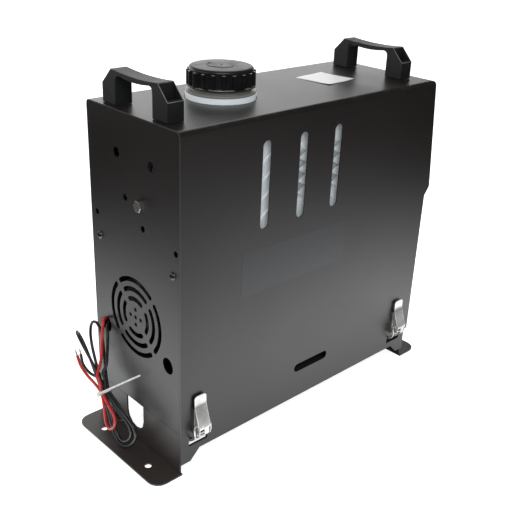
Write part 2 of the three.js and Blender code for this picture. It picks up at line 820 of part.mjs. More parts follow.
function cap() {
  const shape = new THREE.Shape();
  const steps = capRibs * 3;
  for (let i = 0; i < steps; i += 1) {
    const angle = (2 * Math.PI * i) / steps;
    const dip = Math.max(0, Math.cos(angle * capRibs));
    const radius = capRadius - 0.7 - capRibDepth * dip;
    shape[i ? 'lineTo' : 'moveTo'](radius * Math.cos(angle), radius * Math.sin(angle));
  }
  const bevel = 2.6;
  const body = prism('z', shape, capBottom + 3, capTop).intersect(turned('z', [[0, capBottom],
    [capRadius, capBottom], [capRadius, capTop - bevel], [capRadius - bevel, capTop], [0, capTop]],
  [0, 0, 0], 32));
  const lip = turned('z', [[0, capBottom], [capRadius, capBottom], [capRadius, capBottom + 4],
    [capRadius - 1, capBottom + 5], [0, capBottom + 5]], [0, 0, 0], 32);
  const bore = turned('z', [[0, capBottom - 1], [capBore, capBottom - 1], [capBore, capTop - capRoof],
    [0, capTop - capRoof]], [0, 0, 0], 28);
  return body.add(lip).subtract(bore).translate([fillerX, fillerY, 0]);
}

function capSeal() {
  return ring('z', sealBore, neckRadius - seat, sealBottom, sealTop, [fillerX, fillerY, 0], 32);
}

// ---------------------------------------------------------------- heater casing

// The casing's cross-section in (y, z), grown by a margin.
function shellOutline(margin) {
  return roundedRect(shellWidth + 2 * margin, shellHeight + 2 * margin, shellCorner + margin, 0, axisHeight);
}

const footRight = exhaustX + exhaustRadius + 8;
const footLeft = intakeX - intakeRadius - 8;
const footHalf = 29;

// One half of the plastic casing. side is -1 for the lower half and 1 for the upper one.
function shellHalf(side) {
  const joint = axisHeight + side * seat / 2;
  const keep = box(shellLeft - 1, shellRight + 1, -shellWidth, shellWidth, joint,
    axisHeight + side * shellHeight);
  const tube = prism('x', shellOutline(0), shellLeft, shellRight)
    .subtract(prism('x', shellOutline(-shellWall), shellLeft + shellWall, shellRight - shellWall));
  const ports = [
    rod([shellLeft - 1, 0, axisHeight], [shellLeft + shellWall + 1, 0, axisHeight], fanRadius + 4, 24),
    rod([shellRight - shellWall - 1, 0, axisHeight], [shellRight + 1, 0, axisHeight], exchangerFin + 1, 24),
  ];
  const half = cut(tube, ...ports).intersect(keep);
  if (side > 0) return half;
  return cut(half, box(footLeft - holePlay, footRight + holePlay, -footHalf - holePlay, footHalf + holePlay,
    axisHeight - shellHeight / 2 - 1, axisHeight - shellHeight / 2 + shellWall + 1));
}

// The ring that leads air from the grille into the fan.
function inletShroud() {
  const inner = fanRadius + fanGap;
  const profile = [[inner, panelInside + 2.5], [inner + shroudWall, panelInside + 2.5],
    [inner + shroudWall, shellLeft - seat - shroudWall], [inner + 8, shellLeft - seat - shroudWall],
    [inner + 8, shellLeft - seat], [inner, shellLeft - seat], [inner, panelInside + 2.5]];
  return turned('x', profile, [0, 0, axisHeight], 26);
}

// The outlet duct: it narrows from the casing to a round pipe through the right end panel, and
// lowers from the heater's axis to the opening.
function outletDuct() {
  const left = shellRight + seat;
  const mouth = exchangerFin + 1 + ductWall;
  const bend = left + ductTaper;
  const end = lowerX + ductReach;
  const rings = (radius, wall) => [
    [left, axisHeight, mouth - wall], [left + ductStraight, axisHeight, mouth - wall],
    [bend, outletZ, radius - wall], [end, outletZ, radius - wall]];
  const outer = loft(rings(ductRadius + ductWall, 0), 24);
  const inner = loft(rings(ductRadius + ductWall, ductWall).map(([x, z, r], i, all) => [
    i === 0 ? x - 1 : i === all.length - 1 ? x + 1 : x, z, r]), 24);
  return outer.subtract(inner);
}

// A closed skin through circles that stand square to X: each is [x, z of its centre, radius].
function loft(circles, sides) {
  const positions = [];
  const faces = [];
  circles.forEach(([x, z, r]) => {
    for (let i = 0; i < sides; i += 1) {
      const angle = (2 * Math.PI * i) / sides;
      positions.push(x, r * Math.cos(angle), z + r * Math.sin(angle));
    }
  });
  for (let k = 0; k + 1 < circles.length; k += 1) {
    for (let i = 0; i < sides; i += 1) {
      const a = k * sides + i;
      const b = k * sides + ((i + 1) % sides);
      faces.push(a, b, a + sides, b, b + sides, a + sides);
    }
  }
  for (let i = 1; i + 1 < sides; i += 1) {
    const last = (circles.length - 1) * sides;
    faces.push(0, i + 1, i, last, last + i, last + i + 1);
  }
  const geometry = new THREE.BufferGeometry();
  geometry.setAttribute('position', new THREE.Float32BufferAttribute(positions, 3));
  geometry.setIndex(faces);
  return solid(geometry);
}

// The guard over the outlet: a flange on the panel with upright bars across the pipe's mouth.
function outletGuard() {
  const face = lowerX;
  const inner = ductRadius + ductWall + outletPlay;
  const outer = inner + 7;
  const centre = [0, 0, outletZ];
  const flange = ring('x', inner, outer, face, face + 5, centre, 20);
  const rim = ring('x', inner - 6, outer, face + 4, face + 6, centre, 20);
  const bars = [-2, -1, 0, 1, 2].map((i) => {
    const y = i * (inner / 3.2);
    const reach = Math.sqrt((inner - 3) ** 2 - y ** 2);
    return box(face + 4, face + 6, y - 1.2, y + 1.2, outletZ - reach, outletZ + reach);
  });
  const cross = box(face + 4, face + 6, -inner + 3, inner - 3, outletZ - 1.2, outletZ + 1.2);
  return join(flange, rim, cross, ...bars);
}

// ---------------------------------------------------------------- blower

const wheelLeft = exchangerLeft - wheelDepth - 6;
const shaftRight = wheelLeft + wheelDepth + 2;

// A blade of the axial fan: flat sections turned further as they go out, closed at both ends.
function fanBlade(turnAngle) {
  const stations = 3;
  const inner = fanHubRadius - 1.5;
  const points = [];
  for (let k = 0; k < stations; k += 1) {
    const share = k / (stations - 1);
    const radius = inner + share * (fanRadius - inner);
    const pitch = THREE.MathUtils.degToRad(58 - 26 * share);
    const chord = fanDepth * (0.62 + 0.28 * share);
    const sweep = turnAngle + 0.28 * share * share;
    for (const [along, thick] of [[-0.5, 0.35], [0, 1], [0.5, 0.35], [0.5, -0.35], [0, -1], [-0.5, -0.35]]) {
      const camber = 0.08 * chord * (1 - 4 * along * along);
      const a = along * chord;
      const t = thick * 0.8 + camber;
      const across = a * Math.cos(pitch) - t * Math.sin(pitch);
      const depth = a * Math.sin(pitch) + t * Math.cos(pitch);
      const angle = sweep + across / radius;
      points.push(depth, radius * Math.cos(angle), radius * Math.sin(angle));
    }
  }
  const faces = [];
  const n = 6;
  for (let k = 0; k + 1 < stations; k += 1) {
    for (let i = 0; i < n; i += 1) {
      const a = k * n + i;
      const b = k * n + ((i + 1) % n);
      faces.push(a, a + n, b, b, a + n, b + n);
    }
  }
  for (let i = 1; i + 1 < n; i += 1) {
    const last = (stations - 1) * n;
    faces.push(0, i, i + 1, last, last + i + 1, last + i);
  }
  const geometry = new THREE.BufferGeometry();
  geometry.setAttribute('position', new THREE.Float32BufferAttribute(points, 3));
  geometry.setIndex(faces);
  return outward(geometry);
}

// A solid whose faces are turned over if they point inwards.
function outward(geometry) {
  const body = solid(geometry);
  if (body.volume() > 0) return body;
  const corners = Array.from(geometry.index.array);
  for (let i = 0; i < corners.length; i += 3) {
    [corners[i], corners[i + 1]] = [corners[i + 1], corners[i]];
  }
  const turnedOver = geometry.clone();
  turnedOver.setIndex(corners);
  return solid(turnedOver);
}

function airFan() {
  const middle = fanFront + fanDepth / 2;
  const blades = Array.from({ length: fanBlades }, (_, i) => fanBlade((2 * Math.PI * i) / fanBlades));
  const hub = turned('x', [[0, -fanDepth / 2], [fanHubRadius - 5, -fanDepth / 2],
    [fanHubRadius, -fanDepth / 2 + 4], [fanHubRadius, fanDepth / 2], [0, fanDepth / 2]], [0, 0, 0], 18);
  const bore = rod([-fanDepth / 2 + 4, 0, 0], [fanDepth, 0, 0], shaftRadius + seat, 10);
  return join(hub, ...blades).subtract(bore).translate([middle, 0, axisHeight]);
}

function motorShaft() {
  return rod([fanFront + 4 + seat, 0, axisHeight], [shaftRight, 0, axisHeight], shaftRadius, 12);
}

function motor() {
  const profile = [[0, motorLeft], [motorRadius - 8, motorLeft], [motorRadius - 5, motorLeft + 4],
    [motorRadius, motorLeft + 8], [motorRadius, motorRight - 3], [motorRadius + 4, motorRight - 3],
    [motorRadius + 4, motorRight], [0, motorRight]];
  return cut(turned('x', profile, [0, 0, axisHeight], 20),
    rod([motorLeft - 1, 0, axisHeight], [motorRight + 1, 0, axisHeight], shaftRadius + pinPlay, 10));
}

const housingLeft = motorRight + seat;
const housingRadius = shellLeast - shellWall - seat;

// The cast housing of the combustion-air wheel, closed towards the motor and open to the burner.
function blowerHousing() {
  const floor = wheelLeft - 2;
  const profile = [[shaftRadius + 1.5, housingLeft], [housingRadius, housingLeft],
    [housingRadius, exchangerLeft - seat], [wheelRadius + 2, exchangerLeft - seat], [wheelRadius + 2, floor],
    [shaftRadius + 1.5, floor], [shaftRadius + 1.5, housingLeft]];
  return turned('x', profile, [0, 0, axisHeight], 22);
}

// The combustion-air wheel: a disc with straight vanes on one side.
function combustionWheel() {
  const disc = turned('x', [[0, 0], [wheelRadius, 0], [wheelRadius, 2], [0, 2]], [0, 0, 0], 18);
  const hub = rod([0, 0, 0], [wheelDepth - 1, 0, 0], shaftRadius + 4, 12);
  const vanes = Array.from({ length: wheelVanes }, (_, i) => box(1, wheelDepth, -0.6, 0.6, 13,
    wheelRadius - 0.5).rotate([(360 * i) / wheelVanes, 0, 0]));
  return join(disc, hub, ...vanes).subtract(rod([-1, 0, 0], [wheelDepth + 1, 0, 0], shaftRadius + seat, 12))
    .translate([wheelLeft, 0, axisHeight]);
}

// ---------------------------------------------------------------- burner and heat exchanger

const footTop = cradleTop + seat;
const gasketThickness = 1.5;
const castFootBottom = footTop + gasketThickness + seat;

// The outline of the finned casting in (y, z) about the axis.
function finOutline() {
  const shape = new THREE.Shape();
  const half = finThickness / 2;
  for (let i = 0; i < exchangerFins; i += 1) {
    const middle = (2 * Math.PI * (i + 0.5)) / exchangerFins;
    const corners = [[exchangerCore, -half * 1.5], [exchangerFin, -half], [exchangerFin, half],
      [exchangerCore, half * 1.5]];
    corners.forEach(([r, t], k) => {
      const y = r * Math.cos(middle) - t * Math.sin(middle);
      const z = axisHeight + r * Math.sin(middle) + t * Math.cos(middle);
      shape[i || k ? 'lineTo' : 'moveTo'](y, z);
    });
  }
  return shape;
}

function heatExchanger() {
  const flangeLength = 6;
  const fins = prism('x', finOutline(), exchangerLeft + flangeLength - 1, exchangerRight - 12);
  const core = turned('x', [[0, exchangerLeft], [exchangerFin, exchangerLeft],
    [exchangerFin, exchangerLeft + flangeLength], [exchangerCore, exchangerLeft + flangeLength],
    [exchangerCore, exchangerRight - 14], [exchangerCore - 12, exchangerRight], [0, exchangerRight]],
  [0, 0, axisHeight], 16);
  const foot = box(footLeft, footRight, -footHalf, footHalf, castFootBottom, castFootBottom + 9);
  const pedestal = box(footLeft + 6, footRight - 6, -footHalf + 8, footHalf - 8, castFootBottom + 4,
    axisHeight - exchangerCore + 8);
  const stub = (x, y, radius, bottom) => rod([x, y, bottom], [x, y, castFootBottom + 2], radius, 12);
  const hollow = turned('x', [[0, exchangerLeft - 1], [exchangerCore - exchangerWall, exchangerLeft - 1],
    [exchangerCore - exchangerWall, exchangerRight - 24], [exchangerCore - 14, exchangerRight - 8],
    [0, exchangerRight - 8]], [0, 0, axisHeight], 16);
  const bore = (x, y, radius, bottom) => rod([x, y, bottom - 1], [x, y, castFootBottom + 14], radius, 12);
  return cut(
    join(core, fins, foot, pedestal, stub(exhaustX, 0, exhaustRadius, stubBottom),
      stub(intakeX, 0, intakeRadius, stubBottom), stub(fuelStubX, fuelStubY, fuelStubRadius, footTop - 12)),
    hollow, bore(exhaustX, 0, exhaustRadius - 2, stubBottom), bore(intakeX, 0, intakeRadius - 2, stubBottom),
    rod([plugX, 0, axisHeight + exchangerCore - 8], [plugX, 0, axisHeight + exchangerFin + 1],
      plugRadius + seat, 12));
}

const plugX = exchangerLeft + 24;
const plugRadius = 5;

// The burner tube: a flanged, perforated cup that slides into the casting.
function burnerInsert() {
  const start = exchangerLeft + 2;
  const end = start + burnerLength;
  const profile = [[burnerRadius - 2, start], [exchangerCore - exchangerWall - seat, start],
    [exchangerCore - exchangerWall - seat, start + 3], [burnerRadius, start + 3], [burnerRadius, end],
    [burnerRadius - 2, end], [burnerRadius - 2, start]];
  const holes = Array.from({ length: 4 }, (_, i) => rod([plugX + 14, 0, -burnerRadius - 2],
    [plugX + 14, 0, burnerRadius + 2], 3, 6).rotate([45 * i, 0, 0]).translate([0, 0, axisHeight]));
  return cut(turned('x', profile, [0, 0, axisHeight], 16), ...holes);
}

function glowPlug() {
  const seatZ = axisHeight + exchangerFin + seat;
  return join(
    rod([plugX, 0, axisHeight + burnerRadius + 1.5], [plugX, 0, seatZ + 1], plugRadius - seat, 14),
    rod([plugX, 0, seatZ], [plugX, 0, seatZ + 4], plugRadius * 1.15, 6));
}

function baseGasket() {
  const plate = box(footLeft - 3, footRight + 3, -footHalf - 3, footHalf + 3, footTop,
    footTop + gasketThickness);
  const hole = (x, y, radius) => rod([x, y, footTop - 1], [x, y, footTop + gasketThickness + 1], radius, 12);
  return cut(plate, hole(exhaustX, 0, exhaustRadius + 1), hole(intakeX, 0, intakeRadius + 1),
    hole(fuelStubX, fuelStubY, fuelStubRadius + 1));
}

// A hat of sheet on the deck that lifts the heater, with holes for its stubs.
function heaterCradle() {
  const section = channelOutline(cradleHalfWidth, cradleTop, deckTop + seat, hoodBend - sheet, sheet);
  const feet = [-1, 1].map((side) => box(cradleLeft, cradleRight, side * (cradleHalfWidth - sheet / 2),
    side * (cradleHalfWidth + cradleFoot), deckTop + seat, deckTop + seat + sheet));
  const hole = (x, y, radius) => rod([x, y, cradleTop - sheet - 2], [x, y, cradleTop + 1], radius, 12);
  const windowHeight = cradleTop - deckTop - 2 * cradleRail;
  const window = [-1, 1].map((side) => prism('y', roundedRect(cradleLength - 30, windowHeight,
    Math.min(4, windowHeight / 2 - 0.1), cradleLeft + cradleLength / 2, (cradleTop + deckTop) / 2),
  side * (cradleHalfWidth - 2 * sheet), side * (cradleHalfWidth + 1), 1));
  return cut(join(prism('x', section, cradleLeft, cradleRight, 1), ...feet), ...window,
    hole(exhaustX, 0, exhaustRadius + 2), hole(intakeX, 0, intakeRadius + 2),
    hole(fuelStubX, fuelStubY, fuelStubRadius + 2));
}

// The control unit lies in the top of the casing, over the motor.
function controlUnit() {
  const top = shellTop - shellWall - seat;
  const right = motorRight - 8;
  const length = right - motorLeft - 4;
  const body = prism('z', roundedRect(length, controlWidth, 4, (right + motorLeft) / 2, 0),
    top - controlHeight, top, 1);
  const sockets = box(right - 4, right + 5, -0.38 * controlWidth, 0.38 * controlWidth,
    top - controlHeight + 3, top - 4);
  return body.add(sockets);
}

// ---------------------------------------------------------------- fuel line

const spigotLength = 12;

function fuelPump() {
  const half = pumpLength / 2;
  const profile = [[0, -half - spigotLength], [spigotRadius, -half - spigotLength], [spigotRadius, -half],
    [pumpRadius * 0.45, -half], [pumpRadius * 0.45, -half + 8], [pumpRadius * 0.8, -half + 9],
    [pumpRadius, -half + 12], [pumpRadius, half - 8], [pumpRadius * 0.6, half - 6], [pumpRadius * 0.6, half],
    [spigotRadius, half], [spigotRadius, half + spigotLength], [0, half + spigotLength]];
  const plug = box(-6, 10, -5, 5, pumpRadius - 2, pumpRadius + 8);
  return turned('x', profile, [0, 0, 0], 16).add(plug).translate([pumpX, pumpY, pumpHeight]);
}

// A rubber sleeve round the pump on a foot that stands on the deck.
function pumpMount() {
  const right = shellRight + pumpSetback - sleeveSetback;
  const left = right - sleeveLength;
  const outer = pumpRadius + sleeveWall;
  const sleeve = ring('x', pumpRadius + seat, outer, left, right, [0, pumpY, pumpHeight], 16);
  const post = box(left, right, pumpY - outer / 2, pumpY + outer / 2, deckTop + seat,
    pumpHeight - pumpRadius - 1.5);
  const foot = box(left, right, pumpY - outer + 1.5, pumpY + outer - 1.5, deckTop + seat,
    deckTop + seat + 2);
  return join(sleeve, post, foot).subtract(
    rod([left - 1, pumpY, pumpHeight], [right + 1, pumpY, pumpHeight], pumpRadius + seat, 16));
}

function fuelFilter() {
  const half = filterLength / 2;
  const profile = [[0, -half - spigotLength], [spigotRadius, -half - spigotLength], [spigotRadius, -half],
    [filterRadius, -half + 6], [filterRadius, half - 6], [spigotRadius, half],
    [spigotRadius, half + spigotLength], [0, half + spigotLength]];
  return turned('z', profile, [filterX, filterY, filterHeight], 16);
}

function hose(points, steps) {
  const shape = circle(hoseRadius);
  shape.holes.push(circle(hoseBore));
  return new THREE.ExtrudeGeometry(shape, {
    steps, bevelEnabled: false, curveSegments: 3, extrudePath: smooth(points),
  });
}

function tankHose() {
  const start = tankRight + 5;
  const end = filterHeight + filterLength / 2 + 1;
  return hose([[start, pickupY, pickupZ], [start + 8, pickupY, pickupZ], [start + 16, pickupY, pickupZ],
    [filterX + 12, pickupY + 30, pickupZ - 6], [filterX + 8, filterY - 14, end + 40],
    [filterX, filterY, end + 20], [filterX, filterY, end + 8], [filterX, filterY, end]], 13);
}

function filterHose() {
  const top = filterHeight - filterLength / 2 - 1;
  const end = pumpX + pumpLength / 2 + 1;
  return hose([[filterX, filterY, top], [filterX, filterY, top - 9], [filterX, filterY, top - 20],
    [filterX + 12, filterY - 2, pumpHeight + 36], [end + 24, filterY - 7, pumpHeight + 14],
    [end + 23, pumpY + 1, pumpHeight + 1], [end + 12, pumpY, pumpHeight], [end, pumpY, pumpHeight]], 11);
}

function burnerHose() {
  const start = pumpX - pumpLength / 2 - 1;
  const top = cradleTop - sheet - 1;
  const low = deckTop + 2.5 * hoseRadius;
  return hose([[start, pumpY, pumpHeight], [start - 8, pumpY, pumpHeight], [start - 16, pumpY, pumpHeight],
    [start - 24, pumpY - 5, pumpHeight], [cradleRight - 4, cradleHalfWidth - 12, pumpHeight - 4],
    [fuelStubX + 16, fuelStubY + 5, low], [fuelStubX + 2, fuelStubY, low + 5],
    [fuelStubX, fuelStubY, top - 9], [fuelStubX, fuelStubY, top]], 13);
}

// ---------------------------------------------------------------- wiring inside the case

const loomRadius = 4;
const loomY = shellWidth / 2 + loomRadius + 2;
const loomStart = caseLeft + 10;
const loomPlugX = motorLeft + 42;
const loomPlugZ = axisHeight + 16;

// The sleeved loom from the cable hole to the plug on the casing's side.
function loom() {
  const sleeve = solid(tubeGeometry(smooth([[loomStart, loomY, cableHoleZ],
    [loomStart + 8, loomY, cableHoleZ], [loomStart + 30, loomY, cableHoleZ + 2],
    [loomPlugX - 8, loomY, loomPlugZ - 26], [loomPlugX, loomY, loomPlugZ - 10],
    [loomPlugX, loomY, loomPlugZ + 2]]), loomRadius, 12, 8));
  const plug = box(loomPlugX - 8, loomPlugX + 8, shellWidth / 2 + seat, loomY + loomRadius + 1,
    loomPlugZ, loomPlugZ + 18);
  return sleeve.add(plug);
}

// ---------------------------------------------------------------- controller

const bezelFace = seat + bezelThickness;

function buttonPlaces() {
  const half = buttonPitch / 2;
  return {
    button_power: [buttonColumn - half, half],
    button_set: [buttonColumn + half, half],
    button_down: [buttonColumn - half, -half],
    button_up: [buttonColumn + half, -half],
  };
}

function bezel() {
  const plate = prism('z', roundedRect(bezelWidth, bezelHeight, 6), seat, bezelFace, 2);
  const screenHole = prism('z', roundedRect(screenWidth, screenHeight, 2, screenShift, 0), 0,
    bezelFace + 1, 1);
  return cut(plate, screenHole, ...Object.values(buttonPlaces()).map(([x, y]) => rod(
    [x, y, 0], [x, y, bezelFace + 1], buttonRadius + pinPlay, 12)));
}

function screen() {
  return prism('z', roundedRect(screenWidth - 2 * seat, screenHeight - 2 * seat, 2 - seat, screenShift, 0),
    seat, bezelFace - 0.8, 1);
}

const buttonLip = 1;

function controlBoard() {
  const block = prism('z', roundedRect(bezelWidth - 12 - 2 * holePlay, bezelHeight - 10 - 2 * holePlay, 2.5),
    -boardDepth, 0, 1);
  return cut(block, ...Object.values(buttonPlaces()).map(([x, y]) => rod(
    [x, y, -buttonLip - buttonTravel - 2 * seat], [x, y, 1], buttonRadius + buttonLip + pinPlay, 12)));
}

// A button with a lip that keeps it behind the bezel.
function button() {
  return turned('z', [[0, -buttonLip], [buttonRadius + buttonLip, -buttonLip], [buttonRadius + buttonLip, 0],
    [buttonRadius, 0], [buttonRadius, bezelFace + 0.6], [buttonRadius - 0.8, bezelFace + 1.2],
    [0, bezelFace + 1.2]], [0, 0, 0], 12);
}

// ---------------------------------------------------------------- carrying handles

const handleFoot = hoodTop + seat;

// stackTop is the underside of the sheets that the handle's screws hold.
function handle(stackTop) {
  const y0 = handleY - handleLength / 2;
  const y1 = handleY + handleLength / 2;
  const top = handleFoot + handleHeight;
  const under = top - handleBar;
  const shoulder = top - handleChamfer;
  const turn = 6;
  const shape = new THREE.Shape();
  shape.moveTo(y0, handleFoot);
  shape.lineTo(y0 + handleLeg, handleFoot);
  shape.lineTo(y0 + handleLeg, under - turn);
  shape.absarc(y0 + handleLeg + turn, under - turn, turn, Math.PI, Math.PI / 2, true);
  shape.quadraticCurveTo(handleY, under - 2 * handleSag, y1 - handleLeg - turn, under);
  shape.absarc(y1 - handleLeg - turn, under - turn, turn, Math.PI / 2, 0, true);
  shape.lineTo(y1 - handleLeg, handleFoot);
  shape.lineTo(y1, handleFoot);
  shape.lineTo(y1, shoulder);
  shape.lineTo(y1 - handleChamfer, top);
  shape.quadraticCurveTo(handleY, top - 2 * handleSag, y0 + handleChamfer, top);
  shape.lineTo(y0, shoulder);
  const edge = 1.2;
  const geometry = new THREE.ExtrudeGeometry(shape, {
    depth: handleWidth - 2 * edge, bevelEnabled: true, bevelSize: edge, bevelOffset: -edge,
    bevelThickness: edge, bevelSegments: 1, curveSegments: 2,
  });
  geometry.translate(0, 0, -handleWidth / 2 + edge);
  geometry.applyMatrix4(basis.x);
  const body = solid(geometry);
  const places = [-1, 1].map((s) => handleY + s * handleBoltPitch / 2);
  const well = (y) => rod([0, y, handleFoot + handleWell], [0, y, top + 1], handleBoltRadius * 2, 10);
  return join(cut(body, ...places.map(well)), ...places.map((y) => handleBolt(y, stackTop)));
}

// A screw in the well of a handle, with its nut below the sheets.
function handleBolt(y, stackTop) {
  const headBottom = handleFoot + handleWell;
  const nutTop = stackTop - seat;
  return join(
    rod([0, y, headBottom - 0.5], [0, y, headBottom + 4], handleBoltRadius * 1.7, 8),
    rod([0, y, nutTop - 4], [0, y, headBottom + 1], handleBoltRadius, 6),
    rod([0, y, nutTop - 3.4], [0, y, nutTop], handleBoltRadius * 1.8, 6));
}

// ---------------------------------------------------------------- draw latches

// A latch is drawn on the hood's face: x along the face, y = 0 on the face and negative outwards.
const leverHalf = latchWidth / 2;
const leverInner = leverHalf - sheet;
const earHalf = leverInner - pinPlay;
const leverNear = 3.4;
const leverBend = latchTip - 10;
const earRadius = 3.5;
const leverLowY = -(latchPivotOut + earRadius + sheet + 0.5);

function latchPlate() {
  const back = -seat;
  const front = -seat - sheet;
  const base = box(-earHalf, earHalf, back, front, latchPivotZ - 5, leverBend - 4);
  const ear = (side) => {
    const from = side * earHalf;
    const to = side * (earHalf - sheet);
    return join(
      box(from, to, back, -latchPivotOut, latchPivotZ - earRadius, latchPivotZ + earRadius),
      rod([from, -latchPivotOut, latchPivotZ], [to, -latchPivotOut, latchPivotZ], earRadius, 8));
  };
  const pin = rod([-leverHalf, -latchPivotOut, latchPivotZ], [leverHalf, -latchPivotOut, latchPivotZ],
    latchPinRadius, 6);
  const rivets = [14, 23].map((up) => rod([0, front + 0.5, latchPivotZ + up],
    [0, front - 0.9, latchPivotZ + up], 2.2, 6));
  return join(base, ear(-1), ear(1), pin, ...rivets);
}

function latchLever() {
  const tip = [-leverNear, latchTip];
  const bend = [-leverNear, leverBend];
  const low = [leverLowY, latchPivotZ + 1];
  const face = prism('x', bandOutline([tip, bend, low], sheet), -leverHalf, leverHalf);
  const share = 0.12;
  const flange = polygon([
    [bend[0] + share * (low[0] - bend[0]), bend[1] + share * (low[1] - bend[1])], low,
    [low[0], latchPivotZ - 4], [low[0] + 1.2, latchPivotZ - 5], [-latchPivotOut + 2.5, latchPivotZ - 5],
    [-latchPivotOut + 3.3, latchPivotZ], [-bailPinOut + 2.6, bailPinZ], [-bailPinOut + 2.4, bailPinZ + 4],
    [bend[0] + 0.6, leverBend - 8]]);
  const across = (y, z, radius) => rod([-leverHalf - 1, y, z], [leverHalf + 1, y, z], radius, 8);
  return cut(
    join(face, prism('x', flange, -leverHalf, -leverInner), prism('x', flange, leverInner, leverHalf)),
    across(-latchPivotOut, latchPivotZ, latchPinRadius + pinPlay),
    across(-bailPinOut, bailPinZ, bailRadius + pinPlay));
}

// The wire bail: from its ends in the lever down both sides, in through the window and under the
// keeper.
function latchBail() {
  const leg = leverHalf + bailRadius + pinPlay;
  const half = [[leg - 1, -bailPinOut, bailPinZ], [leg, -bailPinOut, bailPinZ - 1.2],
    [leg, -bailPinOut, bailPinZ - 9], [leg, -bailPinOut + 1.2, catchZ + 7.5], [leg, -1, catchZ + 3],
    [leg, catchIn - 1.5, catchZ + 0.5], [leg - 1.4, catchIn, catchZ]];
  const end = [leverInner - 0.9, -bailPinOut, bailPinZ];
  const route = [end, ...half, [0, catchIn, catchZ], ...half.map(([x, y, z]) => [-x, y, z]).reverse(),
    [-end[0], end[1], end[2]]];
  return tubeGeometry(smooth(route), bailRadius, 20, 5);
}

// ---------------------------------------------------------------- power leads

// The hank leans in a plane off the left panel. Its tie is its middle: u runs up along the hank,
// v runs across it to the front and w stands out of it, away from the case.
const hankLean = THREE.MathUtils.degToRad(38.3);
const tieCentre = [-213.8, 32.5, 60];
const leadPitch = leadDiameter + leadGap;
const tieHalf = 3.5;

function hankPoint(u, v, w) {
  return [tieCentre[0] - w,
    tieCentre[1] + u * Math.sin(hankLean) - v * Math.cos(hankLean),
    tieCentre[2] + u * Math.cos(hankLean) + v * Math.sin(hankLean)];
}

// One fold of a hank from one place in the tie to another: up (way 1) or down (way -1). reach is
// its length, left and right its swells, twist turns them out of the hank's plane, lean moves its
// end across and lift moves it outwards.
function fold(way, from, to, { reach, left, right, lean = 0, lift = 0, twist = 0 }) {
  const steps = 12;
  const turn = from[0] > to[0] ? 1 : -1;
  return Array.from({ length: steps + 1 }, (_, i) => {
    const angle = (Math.PI * i) / steps;
    const c = Math.cos(angle);
    const s = Math.sin(angle);
    const [across, deep] = from.map((start, k) => (start * (1 + c) + to[k] * (1 - c)) / 2);
    const side = (turn > 0) === (c > 0) ? right : left;
    const swell = turn * side * 2.32 * c * s ** 1.5;
    return hankPoint(way * (tieHalf + (reach - tieHalf) * s), across + swell + lean * s * s,
      deep + lift * s + twist * swell);
  });
}

const leads = {
  black: {
    passes: [[1.5, 0], [-1.5, 0], [0.5, 0], [-0.5, 0], [0.5, -1], [-0.5, -1]],
    folds: [
      { reach: 65.5, left: 14, right: 28 },
      { reach: 75, left: 7, right: 7, lean: -7, twist: 0.8 },
      { reach: 60, left: 10, right: 22 },
      { reach: 78, left: 8, right: 13, lean: 6, lift: -13 },
      { reach: 38, left: 8, right: 8, lean: -3, lift: -4 },
    ],
    start: [9.5, -1],
    end: [[9, -4.6, -4.8], [17, -11.5, -4.6], [26, -20, -1], [38, -22, 2], [50, -16, 3]],
  },
  red: {
    passes: [[0.5, 1], [-0.5, 1]],
    folds: [{ reach: 41, left: 9, right: 12, lean: -5, lift: 3 }],
    start: [6.6, 4.6],
    end: [[13, -5, 5.6], [25, -12, 7], [38, -16, 8], [50, -15, 8]],
  },
};

// The height above the tie at which the free leads end and the wound ones start.
const hankTop = 16;

function hankRoute(kind) {
  const { passes, folds, start, end } = leads[kind];
  const slots = passes.map((place) => place.map((n) => n * leadPitch));
  const route = [hankPoint(hankTop, ...start), hankPoint(hankTop - leadDiameter, ...start),
    hankPoint(tieHalf, ...slots[0])];
  folds.forEach((shape, i) => {
    route.push(hankPoint(0, ...slots[i]), ...fold(i % 2 ? 1 : -1, slots[i], slots[i + 1], shape));
  });
  const last = slots[slots.length - 1];
  route.push(hankPoint(0, ...last), hankPoint(tieHalf, ...last), ...end.map((p) => hankPoint(...p)));
  return route;
}

// The free stretch of each lead, from the loom through the cable hole to the hank.
const freeRoutes = {
  red: [[-183, 65.4, 131.4], [-186.4, 63.6, 132.4], [-190.5, 59.6, 134], [-195.5, 55.4, 137.6],
    [-200.5, 50.6, 137.4], [-203.8, 47.6, 130], [-205.4, 47.4, 118], [-207.6, 45.4, 105.6],
    [-211.6, 42, 95]],
  black: [[-183, 61.2, 130.4], [-186.4, 59.8, 129.6], [-190.5, 57, 128.8], [-195, 52, 128.4],
    [-199, 45.4, 123.4], [-202, 41.6, 114], [-205.4, 38, 103], [-208.6, 35.6, 92]],
};

function freeRoute(kind) {
  const { start } = leads[kind];
  return [...freeRoutes[kind], hankPoint(hankTop + seat + leadDiameter, ...start),
    hankPoint(hankTop + seat, ...start)];
}

// The least gap between a tube's surfaces where it passes itself or another tube, measured on
// points along their middle lines. Near neighbours on one tube don't count.
function leastGap(points, others) {
  const near = points === others ? 4 * leadDiameter : -1;
  const pitch = points[0].distanceTo(points[1]);
  let least = [Infinity];
  points.forEach((p, i) => {
    others.forEach((q, j) => {
      const gap = p.distanceTo(q) - leadDiameter;
      if (gap < least[0] && Math.abs(i - j) * pitch > near) least = [gap, p, q];
    });
  });
  return least;
}

function leadTube(route, steps) {
  return tubeGeometry(smooth(route), leadDiameter / 2, steps, leadSides);
}

